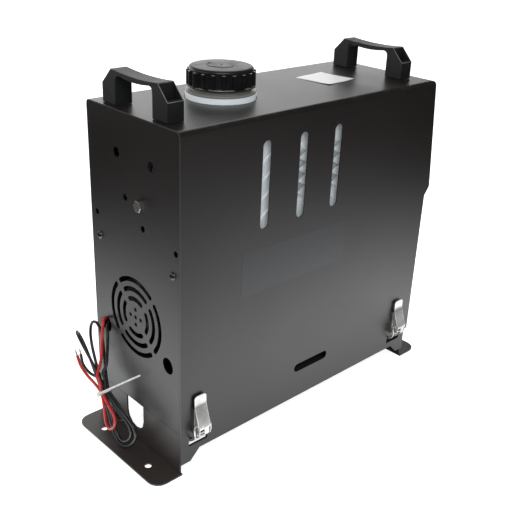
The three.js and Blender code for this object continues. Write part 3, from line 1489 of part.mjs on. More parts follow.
// The cable tie: a strap round the hank's waist, its head and its cut tail.
function cableTie() {
  const half = [2.1 * leadPitch, 1.65 * leadPitch];
  const strap = new THREE.Shape();
  strap.absellipse(0, 0, half[0] + 1.3, half[1] + 1.3, 0, Math.PI * 2);
  const hole = new THREE.Path();
  hole.absellipse(0, 0, half[0], half[1], 0, Math.PI * 2);
  strap.holes.push(hole);
  const geometry = new THREE.ExtrudeGeometry(strap, { depth: 2.6, bevelEnabled: false, curveSegments: 8 });
  geometry.translate(0, 0, -1.3);
  const head = box(1, 6, half[1] + 0.6, half[1] + 5, -2.4, 2.4);
  const tail = solid(tubeGeometry(smooth([[3, half[1] + 3, 1], [9, half[1] + 3.4, 2], [26, half[1] - 1, 9],
    [44, half[1] - 9, 19]]), 1.1, 8, 6));
  const body = join(solid(geometry), head, tail);
  const across = new THREE.Vector3(...hankPoint(0, 1, 0)).sub(new THREE.Vector3(...tieCentre));
  const along = new THREE.Vector3(...hankPoint(1, 0, 0)).sub(new THREE.Vector3(...tieCentre));
  const out = new THREE.Vector3(-1, 0, 0);
  const matrix = new THREE.Matrix4().makeBasis(across, out, along);
  matrix.setPosition(...tieCentre);
  return body.transform(matrix.toArray());
}

// ---------------------------------------------------------------- assembly

place(heater, 'base_tray', baseTray(), 'coatFoot');
place(heater, 'foot_bracket_left', footBracket(-1), 'coatFoot');
place(heater, 'foot_bracket_right', footBracket(1), 'coatFoot');
place(heater, 'hood', hoodWrap(), 'coat');
place(heater, 'end_panel_left', leftPanel(), 'coat');
place(heater, 'end_panel_right', rightPanel(), 'coat');

place(heater, 'fuel_tank', tank(), 'tankPlastic');
place(heater, 'tank_outlet', fuelPickup(), 'brass');
place(heater, 'tank_shelf', tankShelf(), 'coatFoot');
place(heater, 'filler_cap', cap(), 'blackPlastic');
place(heater, 'cap_seal', capSeal(), 'rubber');

place(heater, 'casing_lower', shellHalf(-1), 'blackPlastic');
place(heater, 'casing_upper', shellHalf(1), 'blackPlastic');
place(heater, 'inlet_shroud', inletShroud(), 'blackPlastic');
place(heater, 'outlet_duct', outletDuct(), 'blackPlastic');
place(heater, 'outlet_guard', outletGuard(), 'blackPlastic');
place(heater, 'air_fan', airFan(), 'blackPlastic');
place(heater, 'motor_shaft', motorShaft(), 'steel');
place(heater, 'blower_motor', motor(), 'steel');
place(heater, 'blower_housing', blowerHousing(), 'castAluminium');
place(heater, 'combustion_wheel', combustionWheel(), 'blackPlastic');
place(heater, 'heat_exchanger', heatExchanger(), 'castAluminium');
place(heater, 'burner_insert', burnerInsert(), 'steel');
place(heater, 'glow_plug', glowPlug(), 'steel');
place(heater, 'base_gasket', baseGasket(), 'gasket');
place(heater, 'heater_cradle', heaterCradle(), 'coatFoot');
place(heater, 'control_unit', controlUnit(), 'greyPlastic');

place(heater, 'fuel_pump', fuelPump(), 'steel');
place(heater, 'pump_mount', pumpMount(), 'rubber');
place(heater, 'fuel_filter', fuelFilter(), 'clearPlastic');
place(heater, 'tank_hose', tankHose(), 'rubber');
place(heater, 'filter_hose', filterHose(), 'rubber');
place(heater, 'burner_hose', burnerHose(), 'rubber');
place(heater, 'wiring_loom', loom(), 'blackPlastic');

const controller = new THREE.Group();
slopeMatrix().decompose(controller.position, controller.quaternion, controller.scale);
heater.add(controller);
place(controller, 'control_bezel', bezel(), 'blackPlastic');
place(controller, 'control_board', controlBoard(), 'greyPlastic');
place(controller, 'control_screen', screen(), 'glass');
for (const [name, [x, y]] of Object.entries(buttonPlaces())) {
  place(controller, name, button(), 'greyPlastic').position.set(x, y, 0);
}

// Below the left handle lie the hood's top and the end panel's rim, below the right one only the hood.
const handleStacks = [rimTop - sheet, hoodTop - sheet];
handlePlaces().forEach((x, i) => {
  place(heater, ['handle_left', 'handle_right'][i], handle(handleStacks[i]), 'blackPlastic').position.x = x;
});

for (const [face, side] of [['front', -1], ['back', 1]]) {
  for (const [end, x] of [['left', -latchX], ['right', latchX]]) {
    const latch = new THREE.Group();
    latch.position.set(x, side * hoodHalf, 0);
    latch.rotation.z = side > 0 ? Math.PI : 0;
    place(latch, `latch_plate_${face}_${end}`, latchPlate(), 'zinc');
    place(latch, `latch_lever_${face}_${end}`, latchLever(), 'zinc');
    place(latch, `latch_bail_${face}_${end}`, latchBail(), 'zinc');
    heater.add(latch);
  }
}

const measured = {};
for (const kind of ['red', 'black']) {
  const free = freeRoute(kind);
  const wound = hankRoute(kind);
  const steps = { red: 44, black: 68 }[kind];
  place(heater, `${kind}_lead`, leadTube(free, 24), `${kind}Wire`);
  place(heater, `${kind}_hank`, leadTube(wound, steps), `${kind}Wire`);
  const length = smooth(free).getLength() + smooth(wound).getLength();
  measured[kind] = smooth(wound).getSpacedPoints(Math.round(smooth(wound).getLength() / 1.5));
  const gap = leastGap(measured[kind], measured[kind])[0];
  console.log(`${kind} lead: ${length.toFixed(0)} mm long, least gap to itself ${gap.toFixed(2)} mm`);
}
console.log(`least gap between the leads ${leastGap(measured.red, measured.black)[0].toFixed(2)} mm`);
place(heater, 'cable_tie', cableTie(), 'whitePlastic');

export default heater;
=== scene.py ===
"""Finishes and fine pieces for the diesel air heater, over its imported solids.

Metres, +Z up, +X to the warm-air outlet, -Y to the face with the sight slots."""

import math

import bmesh
import bpy
import numpy as np
from mathutils import Matrix, Vector


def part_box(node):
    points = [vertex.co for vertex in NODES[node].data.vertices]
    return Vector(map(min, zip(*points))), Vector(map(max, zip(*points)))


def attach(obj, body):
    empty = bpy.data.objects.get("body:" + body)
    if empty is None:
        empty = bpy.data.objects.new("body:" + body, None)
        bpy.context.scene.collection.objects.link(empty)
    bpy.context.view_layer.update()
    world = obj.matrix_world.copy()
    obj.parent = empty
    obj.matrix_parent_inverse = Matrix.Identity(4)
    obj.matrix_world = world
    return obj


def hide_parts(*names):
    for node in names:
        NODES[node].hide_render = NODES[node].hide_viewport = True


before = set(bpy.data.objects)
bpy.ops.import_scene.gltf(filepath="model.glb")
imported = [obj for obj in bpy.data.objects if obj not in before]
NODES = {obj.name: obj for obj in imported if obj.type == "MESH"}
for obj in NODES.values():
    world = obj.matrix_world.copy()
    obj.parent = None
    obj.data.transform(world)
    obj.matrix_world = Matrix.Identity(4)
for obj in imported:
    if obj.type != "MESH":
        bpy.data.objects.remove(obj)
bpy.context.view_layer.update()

bl_info = {
    "name": "Diesel Air Heater",
    "version": (1, 0, 0),
    "blender": (4, 5, 0),
    "location": "View3D > Sidebar > Heater",
    "description": "Dresses a portable diesel air heater with its finishes and fine pieces",
    "category": "Add Mesh",
}

MM = 0.001
HOOD_LOW, HOOD_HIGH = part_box("hood")
PANEL_LOW, PANEL_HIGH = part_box("end_panel_left")
CAP_LOW, CAP_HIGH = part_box("filler_cap")
PANEL_FACE = HOOD_LOW.x
HOOD_FRONT = HOOD_LOW.y
HOOD_TOP = HOOD_HIGH.z
TANK_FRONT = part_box("fuel_tank")[0].y
CAP_CENTRE = ((CAP_LOW.x + CAP_HIGH.x) / 2, (CAP_LOW.y + CAP_HIGH.y) / 2)
CAP_RAISE = 2 * MM
COLLAR_STEP = CAP_LOW.z - 4.6 * MM
COLLAR_BAND = 10.4 * MM

# The sight slots, and the saw-tooth band of painted shade on the tank behind them. The phase puts each slot's
# middle at one half of the pitch. The band lies beside and below the slots by these shares of the gap between
# hood and tank.
SIGHT_PITCH = 52.7 * MM
SIGHT_WIDTH = 11.5 * MM
SIGHT_PHASE = 1.08
BAND_ASIDE, BAND_BELOW = 1.06, 0.49
BAND_TOOTH = 0.013
BAND_FOOT = (0.282, 0.288)
BAND_HEAD = (0.334, 0.340)


# ---------------------------------------------------------------- shader maths


class Signal:
    """A value or colour inside a material: arithmetic on it adds Math nodes."""

    def __init__(self, tree, socket):
        self.tree = tree
        self.socket = socket

    def _math(self, operation, *terms):
        node = self.tree.nodes.new("ShaderNodeMath")
        node.operation = operation
        for place, term in zip(node.inputs, terms):
            if isinstance(term, Signal):
                self.tree.links.new(term.socket, place)
            else:
                place.default_value = term
        return Signal(self.tree, node.outputs[0])

    def __add__(self, other):
        return self._math("ADD", self, other)

    def __radd__(self, other):
        return self._math("ADD", other, self)

    def __sub__(self, other):
        return self._math("SUBTRACT", self, other)

    def __rsub__(self, other):
        return self._math("SUBTRACT", other, self)

    def __mul__(self, other):
        return self._math("MULTIPLY", self, other)

    def __rmul__(self, other):
        return self._math("MULTIPLY", other, self)

    def __truediv__(self, other):
        return self._math("DIVIDE", self, other)

    def __pow__(self, other):
        return self._math("POWER", self, other)

    def size(self):
        """The value without its sign."""
        return self._math("ABSOLUTE", self)

    def least(self, limit):
        """The value, but never below the limit."""
        return self._math("MAXIMUM", self, limit)

    def above(self, limit):
        """1 where the value is above the limit, otherwise 0."""
        return self._math("GREATER_THAN", self, limit)

    def clamp(self):
        """The value kept between 0 and 1."""
        return self._math("MINIMUM", self._math("MAXIMUM", self, 0.0), 1.0)

    def wave(self, frequency):
        """The sine of the value times a frequency."""
        return self._math("SINE", self * frequency)

    def part(self):
        """What is left of the value above its whole number."""
        return self._math("FRACT", self)

    def zigzag(self, period):
        """Up from 0 to 1 and back again over each period."""
        return self._math("PINGPONG", self, period / 2) * (2 / period)

    def ramp_between(self, low, high):
        """0 at low, 1 at high and a straight slope between."""
        return ((self - low) / (high - low)).clamp()


class NodeTree:
    """The nodes of one material or world."""

    def __init__(self, tree):
        self.tree = tree
        self.tree.nodes.clear()

    def make(self, kind, settings=None, inputs=None):
        """Any node: its settings first, then the values or links of its sockets."""
        node = self.tree.nodes.new(kind)
        for key, value in (settings or {}).items():
            setattr(node, key, value)
        for key, value in (inputs or {}).items():
            self.connect(node.inputs[key], value)
        return node

    def node(self, kind, settings=None, inputs=None, output=0):
        """One output of a new node, as a signal."""
        return Signal(self.tree, self.make(kind, settings, inputs).outputs[output])

    def connect(self, socket, value):
        """Links a signal to a socket, or sets the socket's own value."""
        if isinstance(value, Signal):
            self.tree.links.new(value.socket, socket)
        elif hasattr(value, "__len__") and socket.type == "RGBA" and len(value) == 3:
            socket.default_value = (*value, 1)
        else:
            socket.default_value = value


class Finish(NodeTree):
    """One material: a Principled surface whose sockets take numbers, colours or signals."""

    def __init__(self, name):
        self.material = bpy.data.materials.new(name)
        self.material.use_nodes = True
        super().__init__(self.material.node_tree)
        self.surface = self.make("ShaderNodeBsdfPrincipled")
        shader = Signal(self.tree, self.surface.outputs[0])
        self.output = self.make("ShaderNodeOutputMaterial", inputs={0: shader})
        self.place = self.node("ShaderNodeTexCoord", output="Object")

    def noise(self, scale, detail=3.0, stretch=(1, 1, 1), roughness=0.5):
        """Smooth noise from 0 to 1. scale is in features per metre."""
        place = self.node("ShaderNodeMapping", inputs={"Vector": self.place, "Scale": stretch})
        return self.node("ShaderNodeTexNoise", inputs={
            "Vector": place, "Scale": scale, "Detail": detail, "Roughness": roughness})

    def cells(self, scale):
        """Distance to the nearest cell centre of a fine grain."""
        return self.node("ShaderNodeTexVoronoi", inputs={"Vector": self.place, "Scale": scale})

    def along(self, axis):
        """The piece's own X, Y or Z place in metres."""
        return self.node("ShaderNodeSeparateXYZ", inputs={0: self.place}, output="XYZ".index(axis))

    def blend(self, share, first, second):
        """A colour that turns from first to second as share goes from 0 to 1."""
        return self.node("ShaderNodeMix", {"data_type": "RGBA"}, {0: share, 6: first, 7: second}, 2)

    def bump(self, height, distance, strength=1.0):
        """Feeds a height signal to the surface's normal. distance is in metres."""
        normal = self.node("ShaderNodeBump", inputs={
            "Height": height, "Distance": distance, "Strength": strength})
        self.connect(self.surface.inputs["Normal"], normal)

    def set(self, **values):
        """Sets surface sockets by name, with underscores for spaces."""
        for key, value in values.items():
            self.connect(self.surface.inputs[key.replace("_", " ")], value)
        return self


# ---------------------------------------------------------------- finishes


def powder_coat(name, colour, roughness=0.38, dust=0.0, base=None):
    """Black powder coat: fine orange peel, faint cloudiness and a little dust, or the colour that base(finish)
    gives."""
    finish = Finish(name)
    cloud = finish.noise(9, 4)
    peel = finish.noise(2600, 2)
    speck = finish.cells(900)
    light = tuple(min(1.0, 2.1 * c + 0.004) for c in colour)
    finish.set(
        Base_Color=base(finish) if base else finish.blend((cloud * (0.35 + dust)).clamp(), colour, light),
        Roughness=roughness + (cloud - 0.5) * 0.10 + (peel - 0.5) * 0.05,
        Specular_IOR_Level=0.5,
    )
    finish.bump(peel + speck * 0.2, 0.00006, 0.5)
    return finish


def hood_coat(colour):
    """The hood's coat: scratches near its upper right corner, a fold lighter in patches, a cut edge lighter
    partly from wear and partly from a painted highlight, and grazes.
    """
    def base(finish):
        x, y, z = (finish.along(axis) for axis in "XYZ")
        near_corner = x.ramp_between(0.10, 0.19) * z.ramp_between(0.28, 0.375) \
            * (-1 * y).ramp_between(0.06, 0.07)
        scratch = finish.noise(160, 5, (0.35, 1, 2.2), 0.7).ramp_between(0.63, 0.72)
        # The fold at the top front is lighter in patches.
        fold = z.ramp_between(0.3765, 0.381) * (1 - z.ramp_between(0.3808, 0.3812))
        fold_patches = finish.noise(60, 5, (1, 1, 1), 0.65).ramp_between(0.52, 0.75)
        # The cut edge at the left end is lighter: partly wear, partly a painted highlight.
        cut_edge_wear_and_highlight = (PANEL_FACE + 0.4 * MM - x).above(0.0) * 0.22
        graze = finish.noise(34, 6, (0.5, 1, 1.6), 0.75).ramp_between(0.70, 0.76) * 0.12
        wear = (near_corner * scratch * 0.5 + fold * fold_patches * 0.16 + cut_edge_wear_and_highlight + graze).clamp()
        cloud = finish.noise(7, 4)
        clean = finish.blend((cloud * 0.4).clamp(), colour, tuple(2 * c + 0.004 for c in colour))
        return finish.blend(wear, clean, (0.16, 0.16, 0.155))

    return powder_coat("hood coat", colour, 0.36, base=base)


def moulding(name, colour, roughness=0.5, grain=0.00004, gloss=0.5):
    """Black or grey moulded plastic with a fine spark grain."""
    finish = Finish(name)
    cells = finish.cells(1500)
    cloud = finish.noise(40, 3)
    light = tuple(1.8 * c + 0.004 for c in colour)
    finish.set(Base_Color=finish.blend((cloud * 0.5).clamp(), colour, light),
               Roughness=roughness + (cloud - 0.5) * 0.12, Specular_IOR_Level=gloss)
    finish.bump(cells, grain, 0.7)
    return finish


def handle_moulding():
    """The handles' plastic, with the fine lines that its mould left across the grip."""
    finish = Finish("handle moulding")
    y = finish.along("Y")
    lines = y.wave(2 * math.pi / 0.0011)
    cloud = finish.noise(60, 3)
    finish.set(Base_Color=finish.blend((cloud * 0.5).clamp(), (0.012, 0.0125, 0.013), (0.03, 0.031, 0.032)),
               Roughness=0.46 + (cloud - 0.5) * 0.14, Specular_IOR_Level=0.28)
    finish.bump(lines * 0.5 + finish.cells(1300) * 0.4, 0.00007, 0.8)
    return finish


def cap_moulding():
    """The filler cap's plastic, greyed by handling on its top, with a painted highlight on the ledge atop each
    rib.
    """
    finish = Finish("cap moulding")
    low, high = CAP_LOW.z + CAP_RAISE, CAP_HIGH.z + CAP_RAISE
    z = finish.along("Z")
    top = z.ramp_between(high - 4 * MM, high - 1 * MM)
    x, y = finish.along("X") - CAP_CENTRE[0], finish.along("Y") - CAP_CENTRE[1]
    rib = (x * x + y * y).above(((CAP_HIGH.x - CAP_LOW.x) / 2 - 1.4 * MM) ** 2)
    # The ledge atop each rib is lighter: a painted highlight. The ring on the lower lip is lighter where
    # rubbed.
    ledge = z.above(high - 4.85 * MM) * (1 - z.above(high - 4.25 * MM)) * rib
    wear_and_highlight = finish.noise(90, 3).ramp_between(0.45, 0.6)
    ring = z.above(low + 1.1 * MM) * (1 - z.above(low + 1.95 * MM)) * wear_and_highlight
    scuff = finish.noise(55, 6, (1, 1, 1), 0.7).ramp_between(0.45, 0.8) * (0.25 + top * 0.75)
    skin = finish.blend(scuff * 0.6, (0.009, 0.009, 0.010), (0.045, 0.045, 0.045))
    finish.set(Base_Color=finish.blend((ledge + ring * 0.6).clamp(), skin, (0.30, 0.30, 0.29)),
               Roughness=0.24 + top * 0.14 + scuff * 0.25, Specular_IOR_Level=0.45)
    finish.bump(finish.noise(900, 3), 0.00005, 0.5)
    return finish


def milky_plastic(name="tank plastic"):
    """Blow-moulded polyethylene: milky, with painted light on its face under the hood and on the neck below the
    collar step, a saw-tooth band of painted shade behind the sight slots, and painted shade on the neck under
    the cap."""
    finish = Finish(name)
    cloud = finish.noise(22, 4)
    flow = finish.noise(120, 3, (1, 1, 0.3))
    x, y, z = (finish.along(axis) for axis in "XYZ")
    skin = finish.blend(cloud.ramp_between(0.3, 0.7), (0.78, 0.83, 0.86), (0.90, 0.94, 0.96))
    # Above the collar step the neck is grey: painted shade under the cap. It gets no painted light.
    shaded_neck = z.above(COLLAR_STEP)
    depth = TANK_FRONT - HOOD_FRONT
    place = ((x - BAND_ASIDE * depth) / SIGHT_PITCH + SIGHT_PHASE).part()
    across = (place - 0.5) * (SIGHT_PITCH / SIGHT_WIDTH) + 0.5
    chevron_shade = (z.zigzag(BAND_TOOTH) - across).ramp_between(-0.12, 0.12)
    level = z + BAND_BELOW * depth
    band = level.ramp_between(*BAND_FOOT) * (1 - level.ramp_between(*BAND_HEAD)) * x.ramp_between(-0.07, -0.03)
    inside = (HOOD_TOP - z).above(0.0) * (TANK_FRONT + 0.004 - y).above(0.0)
    # Emission on the face under the hood and on the neck below the collar step: painted light, as if lit from
    # within.
    painted_glow = inside * (0.5 - chevron_shade * band * 0.4) + z.above(HOOD_TOP) * (1 - shaded_neck) * 0.8
    # The darker saw-tooth band on the face behind the slots: painted shade of its raised ribs.
    skin = finish.blend(chevron_shade * band * inside * 0.75, skin, (0.30, 0.34, 0.37))
    finish.set(Base_Color=finish.blend(shaded_neck, skin, (0.26, 0.25, 0.23)),
               Roughness=0.34 + (flow - 0.5) * 0.15,
               Emission_Color=finish.blend(painted_glow, (0, 0, 0), (0.80, 0.93, 1.0)), Emission_Strength=0.18)
    finish.bump(flow, 0.0002, 0.4)
    return finish


def zinc_plate():
    """Bright zinc on pressed steel: streaked along the pressing, with faint stains."""
    finish = Finish("zinc plate")
    streak = finish.noise(420, 4, (1, 1, 0.12))
    stain = finish.noise(60, 4)
    finish.set(Base_Color=finish.blend(stain.ramp_between(0.4, 0.7), (0.66, 0.66, 0.64), (0.40, 0.39, 0.36)),
               Metallic=0.82, Roughness=0.24 + streak * 0.10)
    finish.bump(streak, 0.00001, 0.3)
    return finish


def steel(name, colour, roughness):
    """Turned or drawn steel with fine tool marks."""
    finish = Finish(name)
    mark = finish.noise(800, 3, (1, 0.15, 0.15))
    finish.set(Base_Color=colour, Metallic=1.0, Roughness=roughness + (mark - 0.5) * 0.2)
    finish.bump(mark, 0.00004, 0.5)
    return finish


def cast_metal():
    """Raw die-cast aluminium: a dull, slightly pitted skin."""
    finish = Finish("cast aluminium")
    skin = finish.noise(500, 5)
    cloud = finish.noise(30, 3)
    finish.set(Base_Color=finish.blend(cloud, (0.40, 0.41, 0.42), (0.55, 0.56, 0.57)),
               Metallic=0.9, Roughness=0.45 + (skin - 0.5) * 0.25)
    finish.bump(skin, 0.00015, 0.6)
    return finish


def soft_rubber(name, colour, roughness=0.6):
    """Rubber or silicone with a slight bloom."""
    finish = Finish(name)
    bloom = finish.noise(150, 4)
    light = tuple(1.35 * c + 0.01 for c in colour)
    finish.set(Base_Color=finish.blend(bloom.ramp_between(0.4, 0.8), colour, light),
               Roughness=roughness + (bloom - 0.5) * 0.2)
    finish.bump(bloom, 0.00005, 0.4)
    return finish


def fibre_sheet():
    """Grey fibre gasket sheet."""
    finish = Finish("fibre sheet")
    fibre = finish.noise(1200, 4, (1, 0.3, 1))
    finish.set(Base_Color=finish.blend(fibre, (0.10, 0.10, 0.11), (0.20, 0.20, 0.21)), Roughness=0.85)
    finish.bump(fibre, 0.0001, 0.6)
    return finish


def brass_turned():
    """Turned brass."""
    finish = Finish("turned brass")
    mark = finish.noise(700, 3, (0.15, 1, 1))
    finish.set(Base_Color=finish.blend(mark, (0.55, 0.38, 0.14), (0.70, 0.52, 0.24)),
               Metallic=1.0, Roughness=0.25 + mark * 0.15)
    finish.bump(mark, 0.00004, 0.4)
    return finish


def copper_strands():
    """Bare tinned copper strands, lit along their lay."""
    finish = Finish("copper strands")
    lay = finish.noise(2500, 2, (1, 1, 0.3))
    finish.set(Base_Color=finish.blend(lay, (0.45, 0.22, 0.10), (0.85, 0.55, 0.36)),
               Metallic=1.0, Roughness=0.30 + lay * 0.2)
    finish.bump(lay, 0.0002, 0.8)
    return finish


def dark_screen():
    """The controller's dark clear cover, a little hazy."""
    finish = Finish("dark screen")
    haze = finish.noise(60, 2)
    finish.set(Base_Color=finish.blend(haze, (0.012, 0.020, 0.022), (0.020, 0.032, 0.034)),
               Roughness=0.08 + haze * 0.06, Coat_Weight=0.5)
    return finish


def sticker_paper():
    """A blank glossy white paper sticker, a little creased."""
    finish = Finish("sticker paper")
    crease = finish.noise(70, 4)
    finish.set(Base_Color=finish.blend(crease, (0.88, 0.88, 0.87), (0.93, 0.93, 0.92)),
               Roughness=0.35 + crease * 0.2)
    finish.bump(crease, 0.0004, 0.5)
    return finish


FINISHES = {}


def make_finishes(sizes):
    """Fills FINISHES with one material for each of the heater's surfaces."""
    coat = tuple(sizes.coat_colour)
    FINISHES.update({
        "hood": hood_coat(coat).material,
        # The end panels' coat is a darker copy of the hood's: painted shade.
        "panel": powder_coat("panel coat", tuple(0.9 * c for c in coat), 0.36).material,
        # The feet's coat is a lighter copy of the hood's with more dust: partly dust, partly painted light.
        "foot": powder_coat("foot coat", tuple(2.3 * c for c in coat), 0.42, 0.25).material,
        "deep": moulding("deep moulding", (0.004, 0.004, 0.004), 0.8, gloss=0.08).material,
        "label": moulding("label film", (0.010, 0.010, 0.011), 0.30, 0.00001).material,
        "zinc": zinc_plate().material,
        "steel": steel("drawn steel", (0.46, 0.47, 0.48), 0.35).material,
        "dark_steel": steel("blackened steel", (0.10, 0.10, 0.102), 0.34).material,
        "cast": cast_metal().material,
        "plastic": moulding("black moulding", (0.014, 0.014, 0.015)).material,
        "fan": moulding("fan moulding", (0.02, 0.02, 0.021), 0.4).material,
        "handle": handle_moulding().material,
        # Pale grey for the tubes along the handles' well rims: painted highlights of their lit edges.
        "wear_and_highlight": moulding("worn edge", (0.15, 0.15, 0.15), 0.45).material,
        "bolt": steel("browned steel", (0.26, 0.25, 0.24), 0.42).material,
        "cap": cap_moulding().material,
        "grey": moulding("grey moulding", (0.07, 0.075, 0.08)).material,
        "milky": milky_plastic().material,
        "screen": dark_screen().material,
        "rubber": soft_rubber("black rubber", (0.012, 0.012, 0.012)).material,
        "clear": milky_plastic("filter bowl").material,
        "gasket": fibre_sheet().material,
        "brass": brass_turned().material,
        "red": soft_rubber("red insulation", tuple(sizes.red_colour), 0.34).material,
        "black": soft_rubber("black insulation", (0.010, 0.010, 0.011), 0.36).material,
        "nylon": soft_rubber("white nylon", (0.72, 0.72, 0.70), 0.35).material,
        "copper": copper_strands().material,
        "paper": sticker_paper().material,
        "sign": moulding("sign print", (0.6, 0.6, 0.58), 0.5, 0.00001).material,
    })


# ---------------------------------------------------------------- surfaces


def add_object(name, data):
    """An object for a mesh, curve, lamp or camera, linked to the scene."""
    piece = bpy.data.objects.new(name, data)
    bpy.context.scene.collection.objects.link(piece)
    return piece


def new_mesh(name, points, faces, finish):
    """A smooth-shaded object from arrays of points and faces."""
    mesh = bpy.data.meshes.new(name)
    mesh.from_pydata(points.reshape(-1, 3).tolist(), [], [tuple(map(int, f)) for f in faces])
    mesh.polygons.foreach_set("use_smooth", [True] * len(mesh.polygons))
    mesh.materials.append(FINISHES[finish])
    mesh.update()
    return add_object(name, mesh)


def grid_faces(rows, columns, wrap_rows=False, wrap_columns=False):
    """Quads of a rows x columns grid: (i, j), (i, j+1), (i+1, j+1), (i+1, j), wrapped where asked."""
    i = np.arange(rows if wrap_rows else rows - 1)
    j = np.arange(columns if wrap_columns else columns - 1)
    a, b = np.meshgrid(i, j, indexing="ij")
    up, on = (a + 1) % rows, (b + 1) % columns
    corners = [a * columns + b, a * columns + on, up * columns + on, up * columns + b]
    return np.stack(corners, -1).reshape(-1, 4)


def outward(piece):
    """Turns the faces of a closed piece to point out."""
    work = bmesh.new()
    work.from_mesh(piece.data)
    bmesh.ops.remove_doubles(work, verts=work.verts, dist=1e-6)
    bmesh.ops.recalc_face_normals(work, faces=work.faces)
    work.to_mesh(piece.data)
    work.free()
    piece.data.polygons.foreach_set("use_smooth", [True] * len(piece.data.polygons))
    return piece


def turned(name, profile, centre, axis, finish, sides=64, ribs=None):
    """A profile of (radius, height) turned round an axis: point = centre + radius (cos t, sin t) + height axis.
    ribs(radius, t, height) adds to the radius. The profile starts and ends on the axis."""
    radius, height = np.array(profile, float).T
    t = np.linspace(0, 2 * np.pi, sides, endpoint=False)
    r, angle = np.meshgrid(radius, t, indexing="ij")
    h = np.repeat(height[:, None], sides, 1)
    if ribs is not None:
        r = r + ribs(r, angle, h)
    local = np.stack([r * np.cos(angle), r * np.sin(angle), h], -1)
    turn = np.array(Vector((0, 0, 1)).rotation_difference(Vector(axis)).to_matrix())
    points = local @ turn.T + np.array(centre, float)
    return outward(new_mesh(name, points, grid_faces(len(profile), sides, wrap_columns=True), finish))


def rounded_profile(corners, radius, steps=5):
    """A polyline whose inner corners are rounded by quadratic arcs cut `radius` from each corner."""
    corners = np.array(corners, float)
    out = [corners[:1]]
    t = np.linspace(0, 1, steps)[:, None]
    for before, corner, after in zip(corners[:-2], corners[1:-1], corners[2:]):
        back, on = before - corner, after - corner
        reach = [min(radius, np.linalg.norm(v) * 0.45) for v in (back, on)]
        start = corner + back / np.linalg.norm(back) * reach[0]
        end = corner + on / np.linalg.norm(on) * reach[1]
        out.append((1 - t) ** 2 * start + 2 * t * (1 - t) * corner + t ** 2 * end)
    return np.concatenate(out + [corners[-1:]])


def smooth_route(points, steps=8):
    """The centripetal Catmull-Rom curve through points, as cubic Hermite spans with `steps` places each."""
    p = np.array(points, float)
    p = np.concatenate([[2 * p[0] - p[1]], p, [2 * p[-1] - p[-2]]])
    d = np.linalg.norm(np.diff(p, axis=0), axis=1)[:, None] ** 0.5
    p0, p1, p2, p3 = p[:-3], p[1:-2], p[2:-1], p[3:]
    d0, d1, d2 = d[:-2], d[1:-1], d[2:]
    m1 = ((p1 - p0) / d0 - (p2 - p0) / (d0 + d1) + (p2 - p1) / d1) * d1
    m2 = ((p2 - p1) / d1 - (p3 - p1) / (d1 + d2) + (p3 - p2) / d2) * d1
    t = (np.arange(steps) / steps)[None, :, None]
    h = [2 * t ** 3 - 3 * t ** 2 + 1, t ** 3 - 2 * t ** 2 + t, -2 * t ** 3 + 3 * t ** 2, t ** 3 - t ** 2]
    spans = h[0] * p1[:, None] + h[1] * m1[:, None] + h[2] * p2[:, None] + h[3] * m2[:, None]
    return np.concatenate([spans.reshape(-1, p.shape[1]), p[-2:-1]])


def tube(name, path, radius, finish, sides=12, taper=None):
    """A round tube along a path: point = path + radius (normal cos t + binormal sin t), with closed ends."""
    path = np.array(path, float)
    tangent = np.gradient(path, axis=0)
    tangent /= np.linalg.norm(tangent, axis=1)[:, None]
    guide = np.array([0.31, -0.52, 0.79])
    normal = np.cross(tangent, guide)
    normal /= np.linalg.norm(normal, axis=1)[:, None]
    binormal = np.cross(tangent, normal)
    t = np.linspace(0, 2 * np.pi, sides, endpoint=False)
    reach = radius * (np.ones(len(path)) if taper is None else np.array(taper, float))
    ring = normal[:, None] * np.cos(t)[None, :, None] + binormal[:, None] * np.sin(t)[None, :, None]
    points = path[:, None] + ring * reach[:, None, None]
    faces = grid_faces(len(path), sides, wrap_columns=True).tolist()
    last = (len(path) - 1) * sides
    faces += [list(range(sides)), list(range(last, last + sides))]
    return outward(new_mesh(name, points, faces, finish))


def slab(name, outlines, thickness, place, finish):
    """A flat plate from closed 2-D outlines, the first its edge and the others its holes: outline + height
    along +Z from 0 to the thickness, then placed by a matrix."""
    curve = bpy.data.curves.new(name, "CURVE")
    curve.dimensions = "2D"
    curve.fill_mode = "BOTH"
    curve.extrude = thickness / 2
    for loop in outlines:
        spline = curve.splines.new("POLY")
        spline.points.add(len(loop) - 1)
        flat = np.column_stack([loop, np.zeros(len(loop)), np.ones(len(loop))])
        spline.points.foreach_set("co", flat.ravel())
        spline.use_cyclic_u = True
    holder = add_object(name + "_curve", curve)
    bpy.context.view_layer.update()
    mesh = bpy.data.meshes.new_from_object(holder)
    bpy.data.objects.remove(holder)
    mesh.transform(place @ Matrix.Translation((0, 0, thickness / 2)))
    mesh.materials.clear()
    mesh.materials.append(FINISHES[finish])
    mesh.name = name
    piece = outward(add_object(name, mesh))
    crisp(piece, 35)
    return piece


def inset(outline, margin):
    """A closed outline moved in by a margin: each corner goes along the mean of its two sides' normals."""
    outline = np.array(outline, float)
    side = np.roll(outline, -1, 0) - outline
    side /= np.linalg.norm(side, axis=1)[:, None]
    normal = np.stack([-side[:, 1], side[:, 0]], -1)
    mean = normal + np.roll(normal, 1, 0)
    mean /= np.maximum((mean * normal).sum(1), 0.2)[:, None]
    return outline + margin * mean


def prism(name, outline, levels, place, finish):
    """A counter-clockwise 2-D outline carried along +Z: for each level (height, margin) the outline moved in by
    the margin, joined in order and closed at both ends, then placed by a matrix."""
    n = len(outline)
    rows = [np.column_stack([inset(outline, margin), np.full(n, height)]) for height, margin in levels]
    faces = grid_faces(len(rows), n, wrap_columns=True).tolist()
    faces += [list(range(n)), list(range((len(rows) - 1) * n, len(rows) * n))]
    piece = new_mesh(name, np.stack(rows), faces, finish)
    piece.data.transform(place)
    crisp(outward(piece), 35)
    return piece


